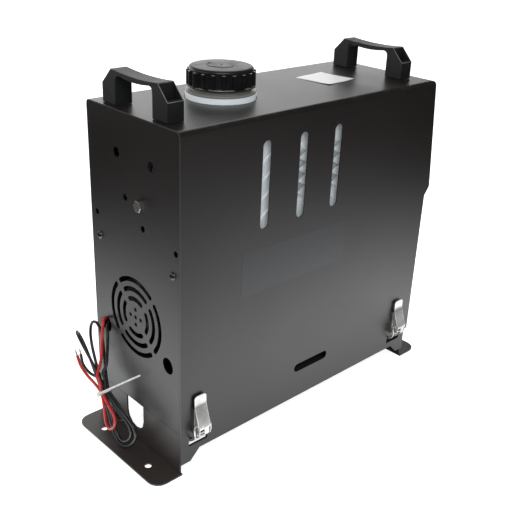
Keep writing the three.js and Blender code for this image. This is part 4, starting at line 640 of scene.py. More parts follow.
def crisp(piece, angle=32):
    """Smooth shading that breaks at edges sharper than the angle."""
    piece.data.polygons.foreach_set("use_smooth", [True] * len(piece.data.polygons))
    split = piece.modifiers.new("crisp edges", "EDGE_SPLIT")
    split.split_angle = math.radians(angle)
    level = piece.modifiers.new("level faces", "WEIGHTED_NORMAL")
    level.mode = "FACE_AREA"
    level.weight = 100


def dress(names, finish, bevel=0.0):
    """Gives CAD nodes a finish, joins their loose triangles and softens their edges."""
    for name in names:
        node = NODES[name]
        node.data.materials.clear()
        node.data.materials.append(FINISHES[finish])
        weld = node.modifiers.new("weld", "WELD")
        weld.merge_threshold = 1e-5
        if bevel:
            soft = node.modifiers.new("soft edges", "BEVEL")
            soft.width = bevel
            soft.segments = 2
            soft.limit_method = "ANGLE"
            soft.angle_limit = math.radians(38)
        crisp(node)


def circle_points(centre, radius, sides=40):
    """A round outline."""
    t = np.linspace(0, 2 * np.pi, sides, endpoint=False)
    return np.stack([centre[0] + radius * np.cos(t), centre[1] + radius * np.sin(t)], -1)


def rounded_box_points(low, high, radius, steps=6):
    """A rectangle with round corners: quarter circles about its four inset corners."""
    corners = [(high[0], high[1], 0), (low[0], high[1], 1), (low[0], low[1], 2), (high[0], low[1], 3)]
    out = []
    for x, y, quarter in corners:
        t = (quarter + np.linspace(0, 1, steps)) * np.pi / 2
        centre = (x - radius * (1 if quarter in (0, 3) else -1), y - radius * (1 if quarter in (0, 1) else -1))
        out.append(np.stack([centre[0] + radius * np.cos(t), centre[1] + radius * np.sin(t)], -1))
    return np.concatenate(out)


def arch_points(half, bottom, top, radius, steps=6):
    """A U turned over: up one side, round two corners of that radius and down the other side."""
    t = np.linspace(0, np.pi / 2, steps)
    right = np.stack([half - radius + radius * np.cos(t), top - radius + radius * np.sin(t)], -1)
    left = right[::-1] * (-1, 1)
    return np.concatenate([[(half, bottom)], right, left, [(-half, bottom)]])


def arc_slot(centre, radius, width, middle, half, steps=14):
    """A slot bent round a centre: the outer arc, a half circle, the inner arc back and a half circle."""
    across = np.linspace(-half, half, steps) + middle
    end = np.linspace(0, np.pi, 8)[1:-1]

    def bow(origin, reach, angle):
        return np.stack([origin[0] + reach * np.cos(angle), origin[1] + reach * np.sin(angle)], -1)

    last, first = bow(centre, radius, across[-1]), bow(centre, radius, across[0])
    return np.concatenate([
        bow(centre, radius + width / 2, across), bow(last, width / 2, across[-1] + end),
        bow(centre, radius - width / 2, across[::-1]), bow(first, width / 2, across[0] + np.pi + end)])


def axes(x_axis, y_axis, origin):
    """The matrix that lays a flat drawing's X and Y along two directions at an origin."""
    x_axis, y_axis = Vector(x_axis), Vector(y_axis)
    return Matrix.Translation(origin) @ Matrix((x_axis, y_axis, x_axis.cross(y_axis))).transposed().to_4x4()


def reach_of(name, direction):
    """How far a CAD node reaches along a direction."""
    mesh = NODES[name].data
    points = np.empty(3 * len(mesh.vertices))
    mesh.vertices.foreach_get("co", points)
    matrix = np.array(NODES[name].matrix_world)
    return float((points.reshape(-1, 3) @ matrix[:3, :3].T @ np.array(direction)).max()
                 + matrix[:3, 3] @ np.array(direction))


# ---------------------------------------------------------------- sizes


class HeaterSizes(bpy.types.PropertyGroup):
    """The colours and sizes that a user of the heater would change."""

    coat_colour: bpy.props.FloatVectorProperty(
        name="Coat", description="Colour of the powder coat", subtype="COLOR", size=3,
        min=0, max=1, default=(0.0125, 0.0100, 0.0091))
    red_colour: bpy.props.FloatVectorProperty(
        name="Red lead", description="Colour of the red lead's insulation", subtype="COLOR", size=3,
        min=0, max=1, default=(0.50, 0.020, 0.014))
    lead_diameter: bpy.props.FloatProperty(
        name="Lead diameter", description="Thickness of the power leads", subtype="DISTANCE",
        unit="LENGTH", default=3.4 * MM, min=2 * MM, max=5 * MM)
    cap_ribs: bpy.props.IntProperty(
        name="Cap ribs", description="Grip ribs round the filler cap", default=20, min=8, max=60)
    edge_softness: bpy.props.FloatProperty(
        name="Edge softness", description="Bevel on folded and pressed edges", subtype="DISTANCE",
        unit="LENGTH", default=0.25 * MM, min=0, max=1 * MM)


# ---------------------------------------------------------------- power leads

# The hank leans in a plane off the left panel: u along it, v across to the front, w out of it.
HANK_LEAN = math.radians(38.3)
TIE_CENTRE = np.array([-213.8, 32.5, 60]) * MM
LEAD_PITCH = 4.2 * MM
TIE_HALF = 3.5 * MM
HANK_TOP = 16 * MM
STRAND_RADIUS = 0.95 * MM
STRAND_REACH = (-1 * MM, 6.5 * MM)
STRAND_TAPER = [1, 1, 1, 1.02, 1, 0.96, 0.85, 0.6]
LEADS = {
    "black": {
        "passes": [[1.5, 0], [-1.5, 0], [0.5, 0], [-0.5, 0], [0.5, -1], [-0.5, -1]],
        "folds": [
            {"reach": 65.5, "left": 14, "right": 28},
            {"reach": 75, "left": 7, "right": 7, "lean": -7, "twist": 0.8},
            {"reach": 60, "left": 10, "right": 22},
            {"reach": 78, "left": 8, "right": 13, "lean": 6, "lift": -13},
            {"reach": 38, "left": 8, "right": 8, "lean": -3, "lift": -4},
        ],
        "start": [9.5, -1],
        "end": [[9, -4.6, -4.8], [17, -11.5, -4.6], [26, -20, -1], [38, -22, 2], [50, -16, 3]],
        "free": [[-183, 61.2, 130.4], [-186.4, 59.8, 129.6], [-190.5, 57, 128.8], [-195, 52, 128.4],
                 [-199, 45.4, 123.4], [-202, 41.6, 114], [-205.4, 38, 103], [-208.6, 35.6, 92]],
    },
    "red": {
        "passes": [[0.5, 1], [-0.5, 1]],
        "folds": [{"reach": 41, "left": 9, "right": 12, "lean": -5, "lift": 3}],
        "start": [6.6, 4.6],
        "end": [[13, -5, 5.6], [25, -12, 7], [38, -16, 8], [50, -15, 8]],
        "free": [[-183, 65.4, 131.4], [-186.4, 63.6, 132.4], [-190.5, 59.6, 134], [-195.5, 55.4, 137.6],
                 [-200.5, 50.6, 137.4], [-203.8, 47.6, 130], [-205.4, 47.4, 118], [-207.6, 45.4, 105.6],
                 [-211.6, 42, 95]],
    },
}


def hank_points(u, v, w):
    """Places in the hank's own frame, given in the heater's: tie centre + u up the hank + v across + w out."""
    sin, cos = math.sin(HANK_LEAN), math.cos(HANK_LEAN)
    u, v, w = (np.asarray(a, float) for a in (u, v, w))
    return TIE_CENTRE + np.stack([-w, u * sin - v * cos, u * cos + v * sin], -1)


def fold_points(way, start, end, reach, left, right, lean=0, lift=0, twist=0):
    """One fold from tie place `start` to `end`, for an angle a from 0 to pi: u = reach sin a,
    v = the mean place + swell cos a sin(a)^1.5 + lean sin(a)^2, w = the mean + lift sin a + twist swell."""
    angle = np.linspace(0, math.pi, 13)
    c, s = np.cos(angle), np.abs(np.sin(angle))
    turn = 1 if start[0] > end[0] else -1
    across, deep = ((start[k] * (1 + c) + end[k] * (1 - c)) / 2 for k in (0, 1))
    side = np.where((turn > 0) == (c > 0), right, left) * MM
    swell = turn * side * 2.32 * c * s ** 1.5
    return hank_points(way * (TIE_HALF + (reach * MM - TIE_HALF) * s), across + swell + lean * MM * s * s,
                       deep + lift * MM * s + twist * swell)


def lead_route(kind, diameter):
    """A lead's whole route: the free stretch from the cable hole, then the passes and folds of its hank."""
    lead = LEADS[kind]
    places = np.array(lead["passes"]) * LEAD_PITCH
    start = np.array(lead["start"]) * MM
    route = [np.array(lead["free"]) * MM, hank_points([HANK_TOP + diameter], *start[:, None]),
             hank_points([HANK_TOP, HANK_TOP - diameter], *start[:, None].repeat(2, 1)),
             hank_points([TIE_HALF], *places[0][:, None])]
    for i, shape in enumerate(lead["folds"]):
        route.append(hank_points([0], *places[i][:, None]))
        route.append(fold_points(1 if i % 2 else -1, places[i], places[i + 1], **shape))
    end = np.array(lead["end"]) * MM
    route.append(hank_points([0, TIE_HALF], *places[-1][:, None].repeat(2, 1)))
    route.append(hank_points(*end.T))
    return np.concatenate(route)


class HEATER_OT_leads(bpy.types.Operator):
    """Add the red and black power leads with their tied hank"""

    bl_idname = "heater.leads"
    bl_label = "Power Leads"

    def execute(self, context):
        diameter = context.scene.heater_sizes.lead_diameter
        for kind in ("red", "black"):
            # Six steps a span put the third free point, which lies in the panel's keyhole, at place 12.
            path = smooth_route(lead_route(kind, diameter), 6)
            curve = bpy.data.curves.new(kind + "_cord", "CURVE")
            curve.dimensions = "3D"
            curve.bevel_depth = diameter / 2
            curve.bevel_resolution = 4
            curve.use_fill_caps = True
            spline = curve.splines.new("POLY")
            spline.points.add(len(path) - 1)
            spline.points.foreach_set("co", np.column_stack([path, np.ones(len(path))]).ravel())
            curve.materials.append(FINISHES[kind])
            cord = add_object(kind + "_cord", curve)
            along = path[-1] - path[-2]
            along /= np.linalg.norm(along)
            bare = path[-1] + along * np.linspace(*STRAND_REACH, len(STRAND_TAPER))[:, None]
            strands = tube(kind + "_strands", bare, STRAND_RADIUS, "copper", 10, STRAND_TAPER)
            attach(cord, "case")
            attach(strands, "case")
            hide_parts(kind + "_lead", kind + "_hank")
        return {"FINISHED"}


class HEATER_OT_cable_tie(bpy.types.Operator):
    """Add the white tie round the hank"""

    bl_idname = "heater.cable_tie"
    bl_label = "Cable Tie"

    def execute(self, context):
        half = np.array([2.1, 1.65]) * LEAD_PITCH
        t = np.linspace(0, 2 * np.pi, 49)[:-1]
        section = np.array([[0, -1.3], [0.25, -1.5], [0.9, -1.5], [1.15, -1.25], [1.15, 1.25], [0.9, 1.5],
                            [0.25, 1.5], [0, 1.3]]) * MM
        grow, rise = section.T
        v = (half[0] + grow[None]) * np.cos(t)[:, None]
        w = (half[1] + grow[None]) * np.sin(t)[:, None]
        points = hank_points(np.broadcast_to(rise, v.shape), v, w)
        strap = outward(new_mesh("tie_strap", points, grid_faces(48, 8, True, True), "nylon"))
        face = half[1] / MM
        head_corners = np.array([[u, v, w] for u in (-2.5, 2.5) for v in (0.6, 6.2)
                                 for w in (face + 0.4, face + 4.6)]) * MM
        head = new_mesh("tie_head", hank_points(*head_corners.T), [
            (0, 1, 3, 2), (4, 6, 7, 5), (0, 4, 5, 1), (2, 3, 7, 6), (0, 2, 6, 4), (1, 5, 7, 3)], "nylon")
        outward(head)
        soft = head.modifiers.new("soft edges", "BEVEL")
        soft.width = 0.6 * MM
        soft.segments = 3
        tail_route = np.array([[0.2, 3, face + 3], [0.6, 9, face + 3], [1.1, 34, face - 9],
                               [1.5, 61, face - 22.5]]) * MM
        path = smooth_route(hank_points(*tail_route.T), 6)
        across = hank_points([1.0 * MM], [0], [0])[0] - TIE_CENTRE
        thick = hank_points([0], [0], [0.4 * MM])[0] - TIE_CENTRE
        corners = np.array([[1, 1], [-1, 1], [-1, -1], [1, -1]])
        shape = path[:, None] + corners[None, :, :1] * across + corners[None, :, 1:] * thick
        last = 4 * (len(path) - 1)
        faces = grid_faces(len(path), 4, wrap_columns=True).tolist()
        faces += [[0, 1, 2, 3], [last + i for i in range(4)]]
        tail = outward(new_mesh("tie_tail", shape, faces, "nylon"))
        crisp(tail)
        for piece in (strap, head, tail):
            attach(piece, "case")
        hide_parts("cable_tie")
        return {"FINISHED"}


# ---------------------------------------------------------------- body


class HEATER_OT_finishes(bpy.types.Operator):
    """Make the heater's finishes and give them to its sheet metal and inner parts"""

    bl_idname = "heater.finishes"
    bl_label = "Finishes"

    def execute(self, context):
        sizes = context.scene.heater_sizes
        soft = sizes.edge_softness
        make_finishes(sizes)
        latches = [f"{face}_{end}" for face in ("front", "back") for end in ("left", "right")]
        dress(["hood"], "hood", soft)
        dress(["end_panel_right"], "panel", soft)
        dress(["base_tray", "foot_bracket_left", "foot_bracket_right", "tank_shelf", "heater_cradle"],
              "foot", soft)
        dress(["fuel_tank"], "milky", 0.0005)
        dress(["fuel_filter"], "clear")
        dress(["tank_outlet"], "brass")
        dress(["outlet_duct", "outlet_guard", "control_bezel"], "plastic", soft)
        dress(["casing_lower", "casing_upper", "inlet_shroud", "wiring_loom"], "deep", soft)
        dress(["air_fan", "combustion_wheel"], "fan")
        dress(["motor_shaft", "blower_motor", "burner_insert", "glow_plug", "fuel_pump"], "steel")
        dress(["blower_housing", "heat_exchanger"], "cast")
        dress(["base_gasket"], "gasket")
        dress(["control_unit", "control_board"], "grey")
        dress(["button_power", "button_set", "button_down", "button_up"], "grey", 0.0004)
        dress(["control_screen"], "screen")
        dress(["pump_mount", "tank_hose", "filter_hose", "burner_hose", "cap_seal"], "rubber")
        dress([f"latch_plate_{place}" for place in latches], "zinc", 0.0002)
        return {"FINISHED"}


# The left end panel: holes as (y, z, radius), grille rings as (radius, half angle), in millimetres and degrees.
PANEL_PLANE = axes((0, 1, 0), (0, 0, 1), (PANEL_FACE, 0, 0))
PANEL_OUT = axes((0, -1, 0), (0, 0, 1), (PANEL_FACE, 0, 0))
SHEET = 1.2 * MM
BLOWER_Z = sum(corner.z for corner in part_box("air_fan")) / 2
GRILLE_RINGS = ((43, 38), (32, 35), (21, 29))
GRILLE_SLOT = 5.5
GRILLE_DOT_CIRCLE = 9
GRILLE_DOT = 2.3
PANEL_HOLES = ((25.5, 337.5, 5.3), (-32.5, 337, 5.3), (12.5, 293.8, 3.7), (-16.8, 268.7, 3.5),
               (66, 262, 3.2), (-70, 260.5, 3.2))
CABLE_HOLE_Y = 56
CABLE_HOLE_Z = 128.9
CABLE_HOLE = 8.1
CABLE_HOLE_APART = (0.4, 1.1)
PANEL_CORNER = 3.5 * MM
PANEL_BOLT = (-14.3, 292.7)
BOLT_HEAD = 6.6 * MM
PANEL_SCREWS = ((62, 236), (-65, 235.5))


def screw_head(name, centre, axis, radius, height):
    """A pan head: height (1 - 0.8 q^3) at the radius share q, with a cross sunk where |x| or |y| is small."""
    q = np.concatenate([np.linspace(0, 0.62, 15), np.linspace(0.7, 1, 7)])
    t = np.linspace(0, 2 * np.pi, 48, endpoint=False)
    share, angle = np.meshgrid(q, t, indexing="ij")
    x, y = share * np.cos(angle), share * np.sin(angle)
    cross = (share < 0.55) & (np.minimum(np.abs(x), np.abs(y)) < 0.13)
    rise = 1 - 0.8 * share ** 3 - 0.5 * cross
    rise[-1] = 0
    local = np.stack([x * radius, y * radius, rise * height], -1)
    turn = np.array(Vector((0, 0, 1)).rotation_difference(Vector(axis)).to_matrix())
    points = local @ turn.T + np.array(centre)
    piece = new_mesh(name, points, grid_faces(len(q), 48, wrap_columns=True), "dark_steel")
    crisp(outward(piece), 40)
    return piece


class HEATER_OT_end_panel(bpy.types.Operator):
    """Add the left end panel with its grille, its rim, its bolt and its screws"""

    bl_idname = "heater.end_panel"
    bl_label = "Left End Panel"

    def execute(self, context):
        edge = arch_points(PANEL_HIGH.y, PANEL_LOW.z, PANEL_HIGH.z, PANEL_CORNER)
        quarter = np.pi / 2
        slots = [arc_slot((0, BLOWER_Z), radius * MM, GRILLE_SLOT * MM, n * quarter, math.radians(half))
                 for radius, half in GRILLE_RINGS for n in range(4)]
        dots = [circle_points((y * GRILLE_DOT_CIRCLE * MM, BLOWER_Z + z * GRILLE_DOT_CIRCLE * MM),
                              GRILLE_DOT * MM, 20) for y, z in ((0, 0), (1, 0), (0, 1), (-1, 0), (0, -1))]
        holes = [circle_points((y * MM, z * MM), radius * MM, 28) for y, z, radius in PANEL_HOLES]
        keyholes = [self.keyhole(side) for side in (-1, 1)]
        plate = slab("panel_plate", [edge, *slots, *dots, *holes, *keyholes], SHEET, PANEL_PLANE, "panel")
        outer = arch_points(PANEL_HIGH.y, PANEL_LOW.z + SHEET, PANEL_HIGH.z, PANEL_CORNER)
        inner = arch_points(PANEL_HIGH.y - SHEET, PANEL_LOW.z + SHEET, PANEL_HIGH.z - SHEET,
                            PANEL_CORNER - SHEET)
        near, far = PANEL_FACE + SHEET / 2, PANEL_HIGH.x
        rows = [np.column_stack([np.full(len(line), x), line]) for line, x in (
            (outer, near), (outer, far), (inner, far), (inner, near))]
        rim = new_mesh("panel_rim", np.stack(rows), grid_faces(4, len(outer), wrap_rows=True), "panel")
        crisp(outward(rim), 35)
        across, up = (value * MM for value in PANEL_BOLT)
        hexagon = circle_points((-across, up), BOLT_HEAD, 6)
        head = prism("panel_bolt", hexagon, [(0, 0), (4.4 * MM, 0), (5.2 * MM, 0.8 * MM)], PANEL_OUT, "bolt")
        screws = [screw_head(f"panel_screw_{i}", (PANEL_FACE, y * MM, z * MM), (-1, 0, 0), 4.4 * MM, 2.4 * MM)
                  for i, (y, z) in enumerate(PANEL_SCREWS)]
        for piece in (plate, rim, head, *screws):
            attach(piece, "case")
        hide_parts("end_panel_left")
        return {"FINISHED"}

    def keyhole(self, side):
        """Two equal circles run together: each keeps its arc outside the other."""
        apart = math.hypot(*CABLE_HOLE_APART)
        lap = math.asin(apart / CABLE_HOLE)
        lean = math.atan2(CABLE_HOLE_APART[0], CABLE_HOLE_APART[1])
        arc = np.linspace(-lap, np.pi + lap, 20)[:-1]
        top = np.stack([np.cos(arc), np.sin(arc)], -1) * CABLE_HOLE + (0, apart)
        cos, sin = math.cos(lean), math.sin(lean)
        both = np.concatenate([top, -top]) @ np.array([[cos, -sin], [sin, cos]])
        return (both * (-side, 1) + (side * CABLE_HOLE_Y, CABLE_HOLE_Z)) * MM


# The filler cap, in millimetres inwards from its rim or down from its top.
CAP_BORE, CAP_WALL = 3.8, 2.5
CAP_LEDGE = 4.3
CAP_RIB = 2.3
CAP_MARK_RADIUS = 15 * MM


class HEATER_OT_filler_cap(bpy.types.Operator):
    """Add the ribbed filler cap with the marks on its top"""

    bl_idname = "heater.filler_cap"
    bl_label = "Filler Cap"

    def execute(self, context):
        count = context.scene.heater_sizes.cap_ribs
        low, high = (CAP_LOW.z + CAP_RAISE) / MM, (CAP_HIGH.z + CAP_RAISE) / MM
        radius = (CAP_HIGH.x - CAP_LOW.x) / 2 / MM
        bore, wall = radius - CAP_BORE, radius - CAP_WALL
        ledge = high - CAP_LEDGE
        t = np.linspace(0, np.pi / 2, 9)
        brow = np.stack([wall - 3.6 + 3.6 * np.cos(t), high - 3.6 + 3.1 * np.sin(t)], -1)
        rise = np.concatenate([[low + 1.9, low + 2.5], np.linspace(low + 4, ledge - 2, 5),
                               [ledge - 0.5, ledge, ledge + 0.2, ledge + 0.5]])
        profile = np.concatenate([
            [[0, high - 5], [bore, high - 5], [bore, low], [radius - 0.4, low], [radius, low + 0.4],
             [radius, low + 1.3], [radius - 0.4, low + 1.8]],
            np.stack([np.full(len(rise), wall), rise], -1), brow,
            [[wall - 5.5, high - 0.45], [wall * 0.6, high - 0.15], [wall * 0.3, high], [0, high]]]) * MM

        def ribs(r, angle, h):
            ridge = np.clip((np.cos(count * angle) - 0.35) / 0.35, 0, 1)
            ridge = ridge * ridge * (3 - 2 * ridge)
            on_wall = (np.abs(r / MM - wall) < 1e-4) & (h / MM < ledge + 0.1)
            return CAP_RIB * MM * ridge * on_wall * np.clip((ledge - h / MM) / 0.4, 0, 1)

        centre = (*CAP_CENTRE, 0)
        cap = turned("cap_shell", profile, centre, (0, 0, 1), "cap", count * 18, ribs)
        crisp(cap, 42)
        bow = np.radians(np.linspace(95, 285, 40))
        mark = np.stack([CAP_CENTRE[0] + CAP_MARK_RADIUS * np.cos(bow),
                         CAP_CENTRE[1] + CAP_MARK_RADIUS * np.sin(bow), np.full(40, (high - 0.15) * MM)], -1)
        arc = tube("cap_mark", mark, 0.45 * MM, "cap", 8)
        bead = np.array([[0, high - 0.3], [1.2, high - 0.3], [1.0, high + 0.2], [0.5, high + 0.4],
                         [0, high + 0.45]]) * MM
        dot = turned("cap_dot", bead, centre, (0, 0, 1), "cap", 20)
        for piece in (cap, arc, dot):
            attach(piece, "cap")
        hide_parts("filler_cap")
        rings = [circle_points(CAP_CENTRE, reach * MM, 96) for reach in (37.2, 36)]
        band = slab("collar_band", rings, COLLAR_BAND, Matrix.Translation((0, 0, COLLAR_STEP - COLLAR_BAND)),
                    "milky")
        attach(band, "case")
        return {"FINISHED"}


class HEATER_OT_handles(bpy.types.Operator):
    """Add the two carrying handles with the open wells of their bolts"""

    bl_idname = "heater.handles"
    bl_label = "Handles"

    def execute(self, context):
        for name in ("handle_left", "handle_right"):
            low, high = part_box(name)
            self.handle(name, low, high)
        return {"FINISHED"}

    def handle(self, name, low, high):
        """Outlines in (y, z): walls with the whole side view, and between them the same view with the wells."""
        middle_x = (low.x + high.x) / 2
        base, top = HOOD_TOP + 0.3 * MM, high.z
        y0, y1 = low.y, high.y
        middle, half = (y0 + y1) / 2, (high.x - low.x) / 2
        leg, slope, bar, sag, turn = (value * MM for value in (23, 15.5, 5, 2, 6))
        shoulder = top - slope
        t = np.linspace(0, 1, 9)[:, None]

        def bend(start, corner, end):
            return (1 - t) ** 2 * np.array(start) + 2 * t * (1 - t) * np.array(corner) + t ** 2 * np.array(end)

        under = np.concatenate([
            [(y0 + leg, base)],
            bend((y0 + leg, top - bar - turn), (y0 + leg, top - bar), (y0 + leg + turn, top - bar)),
            bend((y0 + leg + turn, top - bar), (middle, top - bar - 2 * sag),
                 (y1 - leg - turn, top - bar))[1:-1],
            bend((y1 - leg - turn, top - bar), (y1 - leg, top - bar), (y1 - leg, top - bar - turn)),
            [(y1 - leg, base)]])
        crown = bend((y1 - slope, top), (middle, top - 2 * sag), (y0 + slope, top))
        whole = np.concatenate([[(y0, base)], under, [(y1, base), (y1, shoulder)], crown, [(y0, shoulder)]])
        wall, floor = 1.8 * MM, base + 6 * MM

        def well(outer, sign):
            inner = outer + sign * (slope - 1.2 * MM)
            return [(outer + sign * wall, shoulder + wall), (outer + sign * wall, floor), (inner, floor),
                    (inner, shoulder + slope - 1.2 * MM)]

        notched = np.concatenate([[(y0, base)], under, [(y1, base), (y1, shoulder)], well(y1, -1), crown,
                                  well(y0, 1)[::-1], [(y0, shoulder)]])
        place = axes((0, 1, 0), (0, 0, 1), (middle_x, 0, 0))
        core = half - wall
        soft = 0.7 * MM
        parts = [
            prism(name + "_core", notched, [(-core, 0), (core, 0)], place, "handle"),
            prism(name + "_wall_in", whole, [(core, 0), (half - soft, 0), (half, soft)], place, "handle"),
            prism(name + "_wall_out", whole, [(-half, soft), (-half + soft, 0), (-core, 0)], place, "handle")]
        bolt = np.array([[0, -0.5], [4.9, -0.5], [4.9, 2.6], [4.4, 3.2], [2.4, 3.2], [2.4, 1.2], [0, 1.2]]) * MM
        for end, sign, outer in (("near", 1, y0), ("far", -1, y1)):
            spot = (middle_x, outer + sign * 8 * MM, floor)
            parts.append(turned(f"{name}_bolt_{end}", bolt, spot, (0, 0, 1), "steel", 28))
            # A pale tube along each well's rim: a painted highlight on the lit top edges of its walls.
            edge = outer + sign * 0.3 * MM
            crest = outer + sign * (slope - 0.6 * MM)
            rim = np.array([[-1, edge, shoulder], [-1, crest, top - 0.5 * MM], [1, crest, top - 0.5 * MM],
                            [1, edge, shoulder], [-1, edge, shoulder]])
            rim[:, 0] = middle_x + rim[:, 0] * (half - 1.0 * MM)
            parts.append(tube(f"{name}_rim_{end}", rim, 0.5 * MM, "wear_and_highlight", 8))
        for part in parts:
            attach(part, "case")
        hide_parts(name)


# A front draw latch in its own frame, in millimetres: x across, y out of the hood (negative) and z up.
LEVER_TIP, LEVER_ROUNDING, LEVER_HALF, LEVER_SHEET = 95.5, 3.2, 7.9, 1.0
LEVER_SIDE = [(-3.0, LEVER_TIP), (-3.4, 93), (-3.4, 86), (-12.4, 60), (-12.6, 58.5)]
FLANGE_Z, FLANGE_Y = [51, 60, 64, 75, 86], [-4.4, -3.6, -3.8, -3.3, -3.6]
FLANGE_CORNER = 1.3
PIVOT_Y, PIVOT_Z = -7.5, 51
EAR_X, EAR_RADIUS, EAR_SHEET = 7.4, 4.2, 0.9
PIN_HEAD = [[0, 7.6], [2.3, 7.6], [2.3, 8.1], [1.7, 8.6], [0, 8.7]]
TONGUE_LOW, TONGUE_HIGH, TONGUE_Y = (-1.6, 50.6), (4.8, 60.5), -11.6
BAIL_SIDE = [[5.9, -6, 60], [8.9, -6, 60], [10.4, -6.5, 58.4], [10.9, -7.7, 54], [10.7, -8, 50],
             [10.2, -6.6, 46], [9.7, -3.2, 42.4], [9.45, 0, 40.2], [9.3, 2.7, 38.9], [8.05, 4.2, 38.5]]
BAIL_RADIUS, SHADE_SLEEVE_RADIUS, SHADE_SLEEVE_HALF = 0.95, 1.2, 7.4


class HEATER_OT_latches(bpy.types.Operator):
    """Add the pressed levers and the wire bails of the four draw latches"""

    bl_idname = "heater.latches"
    bl_label = "Draw Latches"

    def execute(self, context):
        for face, side in (("front", -1), ("back", 1)):
            for end in ("left", "right"):
                turn = Matrix.Rotation(math.pi if side > 0 else 0, 4, "Z")
                low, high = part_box(f"latch_lever_{face}_{end}")
                place = Matrix.Translation(((low.x + high.x) / 2, side * HOOD_HIGH.y, 0)) @ turn
                self.lever(f"{face}_{end}", place)
                self.bail(f"{face}_{end}", place)
        return {"FINISHED"}

    def lever(self, spot, place):
        """A pressing: along its side view (y, z), across it a channel whose top end is rounded, x = half width
        and y = side view + flange depth, and below it two ears round the pivot with their pin."""
        view = rounded_profile(LEVER_SIDE, 3, 7)
        y, z = smooth_route(view, 2).T
        tip = np.clip((LEVER_TIP - z) / LEVER_ROUNDING, 0, 1)
        half = LEVER_HALF * (0.55 + 0.45 * np.sqrt(1 - (1 - tip) ** 2))
        deep = np.clip(np.interp(z, FLANGE_Z, FLANGE_Y) - y, 0, 9)
        corner = np.minimum(FLANGE_CORNER, deep)
        bend = np.linspace(0, np.pi / 2, 5)
        flange = np.linspace(1, 0, 5)[:-1]
        across = np.concatenate([
            half[:, None] + 0 * flange[None],
            half[:, None] - corner[:, None] * (1 - np.cos(bend))[None]], 1)
        depth = np.concatenate([
            corner[:, None] + (deep - corner)[:, None] * flange[None],
            corner[:, None] * (1 - np.sin(bend))[None]], 1)
        middle = np.linspace(-1, 1, 7)[1:-1]
        inner = (half - corner)[:, None] * -middle[None]
        x = np.concatenate([across, inner, -across[:, ::-1]], 1)
        out = np.concatenate([depth, 0 * inner, depth[:, ::-1]], 1)
        points = np.stack([x, y[:, None] + out, z[:, None] + 0 * x], -1) * MM
        lever = outward(new_mesh(f"lever_{spot}", points, grid_faces(*x.shape), "zinc"))
        lever.data.transform(place)
        thick = lever.modifiers.new("sheet", "SOLIDIFY")
        thick.thickness = LEVER_SHEET * MM
        thick.offset = -1
        crisp(lever, 50)
        turn = np.linspace(math.radians(200), math.radians(350), 10)
        round_pin = np.stack([PIVOT_Y + EAR_RADIUS * np.cos(turn), PIVOT_Z + EAR_RADIUS * np.sin(turn)], -1)
        ear = np.concatenate([[(-3.7, 62), (-12.2, 62), (-12.4, 58.5)], round_pin]) * MM
        pieces = [lever]
        for way, name in ((-1, "left"), (1, "right")):
            start = (way * EAR_X - EAR_SHEET / 2) * MM
            pieces.append(prism(f"lever_ear_{name}_{spot}", ear, [(0, 0), (EAR_SHEET * MM, 0)],
                                place @ axes((0, 1, 0), (0, 0, 1), (start, 0, 0)), "zinc"))
            head = turned(f"lever_pin_{name}_{spot}", np.array(PIN_HEAD) * MM,
                          (0, PIVOT_Y * MM, PIVOT_Z * MM), (way, 0, 0), "zinc", 20)
            head.data.transform(place)
            pieces.append(head)
        tongue = rounded_box_points(np.array(TONGUE_LOW) * MM, np.array(TONGUE_HIGH) * MM, 0.8 * MM, 3)
        pieces.append(prism(f"lever_tongue_{spot}", tongue, [(0, 0), (1.0 * MM, 0)],
                            place @ axes((1, 0, 0), (0, 0, 1), (0, TONGUE_Y * MM, 0)), "zinc"))
        for piece in pieces:
            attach(piece, f"lever_{spot}")
        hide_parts(f"latch_lever_{spot}")

    def bail(self, spot, place):
        """A wire hooked into the lever on both sides and bowed through the hood's window under the catch, with
        a black tube on its bar: painted shade where the catch shadows the bar."""
        half = np.array(BAIL_SIDE)
        _, bar_y, bar_z = BAIL_SIDE[-1]
        route = np.concatenate([half, [[0, bar_y, bar_z]], (half * (-1, 1, 1))[::-1]])
        wire = tube(f"bail_{spot}", smooth_route(route, 6) * MM, BAIL_RADIUS * MM, "zinc", 12)
        # A black tube over the bar's middle: painted shade, standing for the catch's shadow on it.
        bar = np.linspace((-SHADE_SLEEVE_HALF, bar_y, bar_z), (SHADE_SLEEVE_HALF, bar_y, bar_z), 4)
        shade_sleeve = tube(f"bail_sleeve_{spot}", bar * MM, SHADE_SLEEVE_RADIUS * MM, "deep", 12)
        for piece in (wire, shade_sleeve):
            piece.data.transform(place)
            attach(piece, f"bail_{spot}")
        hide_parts(f"latch_bail_{spot}")


# Labels and the low slot, in millimetres: corners on the hood's top as (x, y), on its front as (x, z).
STICKER_CORNERS = [[59.2, 28], [108.2, 33], [114.2, -15], [64.7, -21]]
FILM_LOW, FILM_HIGH = (-112, 190), (46, 240)
LOW_SLOT_MIDDLE, LOW_SLOT_HALF = (5.3, 65.8), (28, 5.25)
# How far the right end's sloping part reaches out over its height.
FLARE_REACH, FLARE_RISE = 14, 133.5


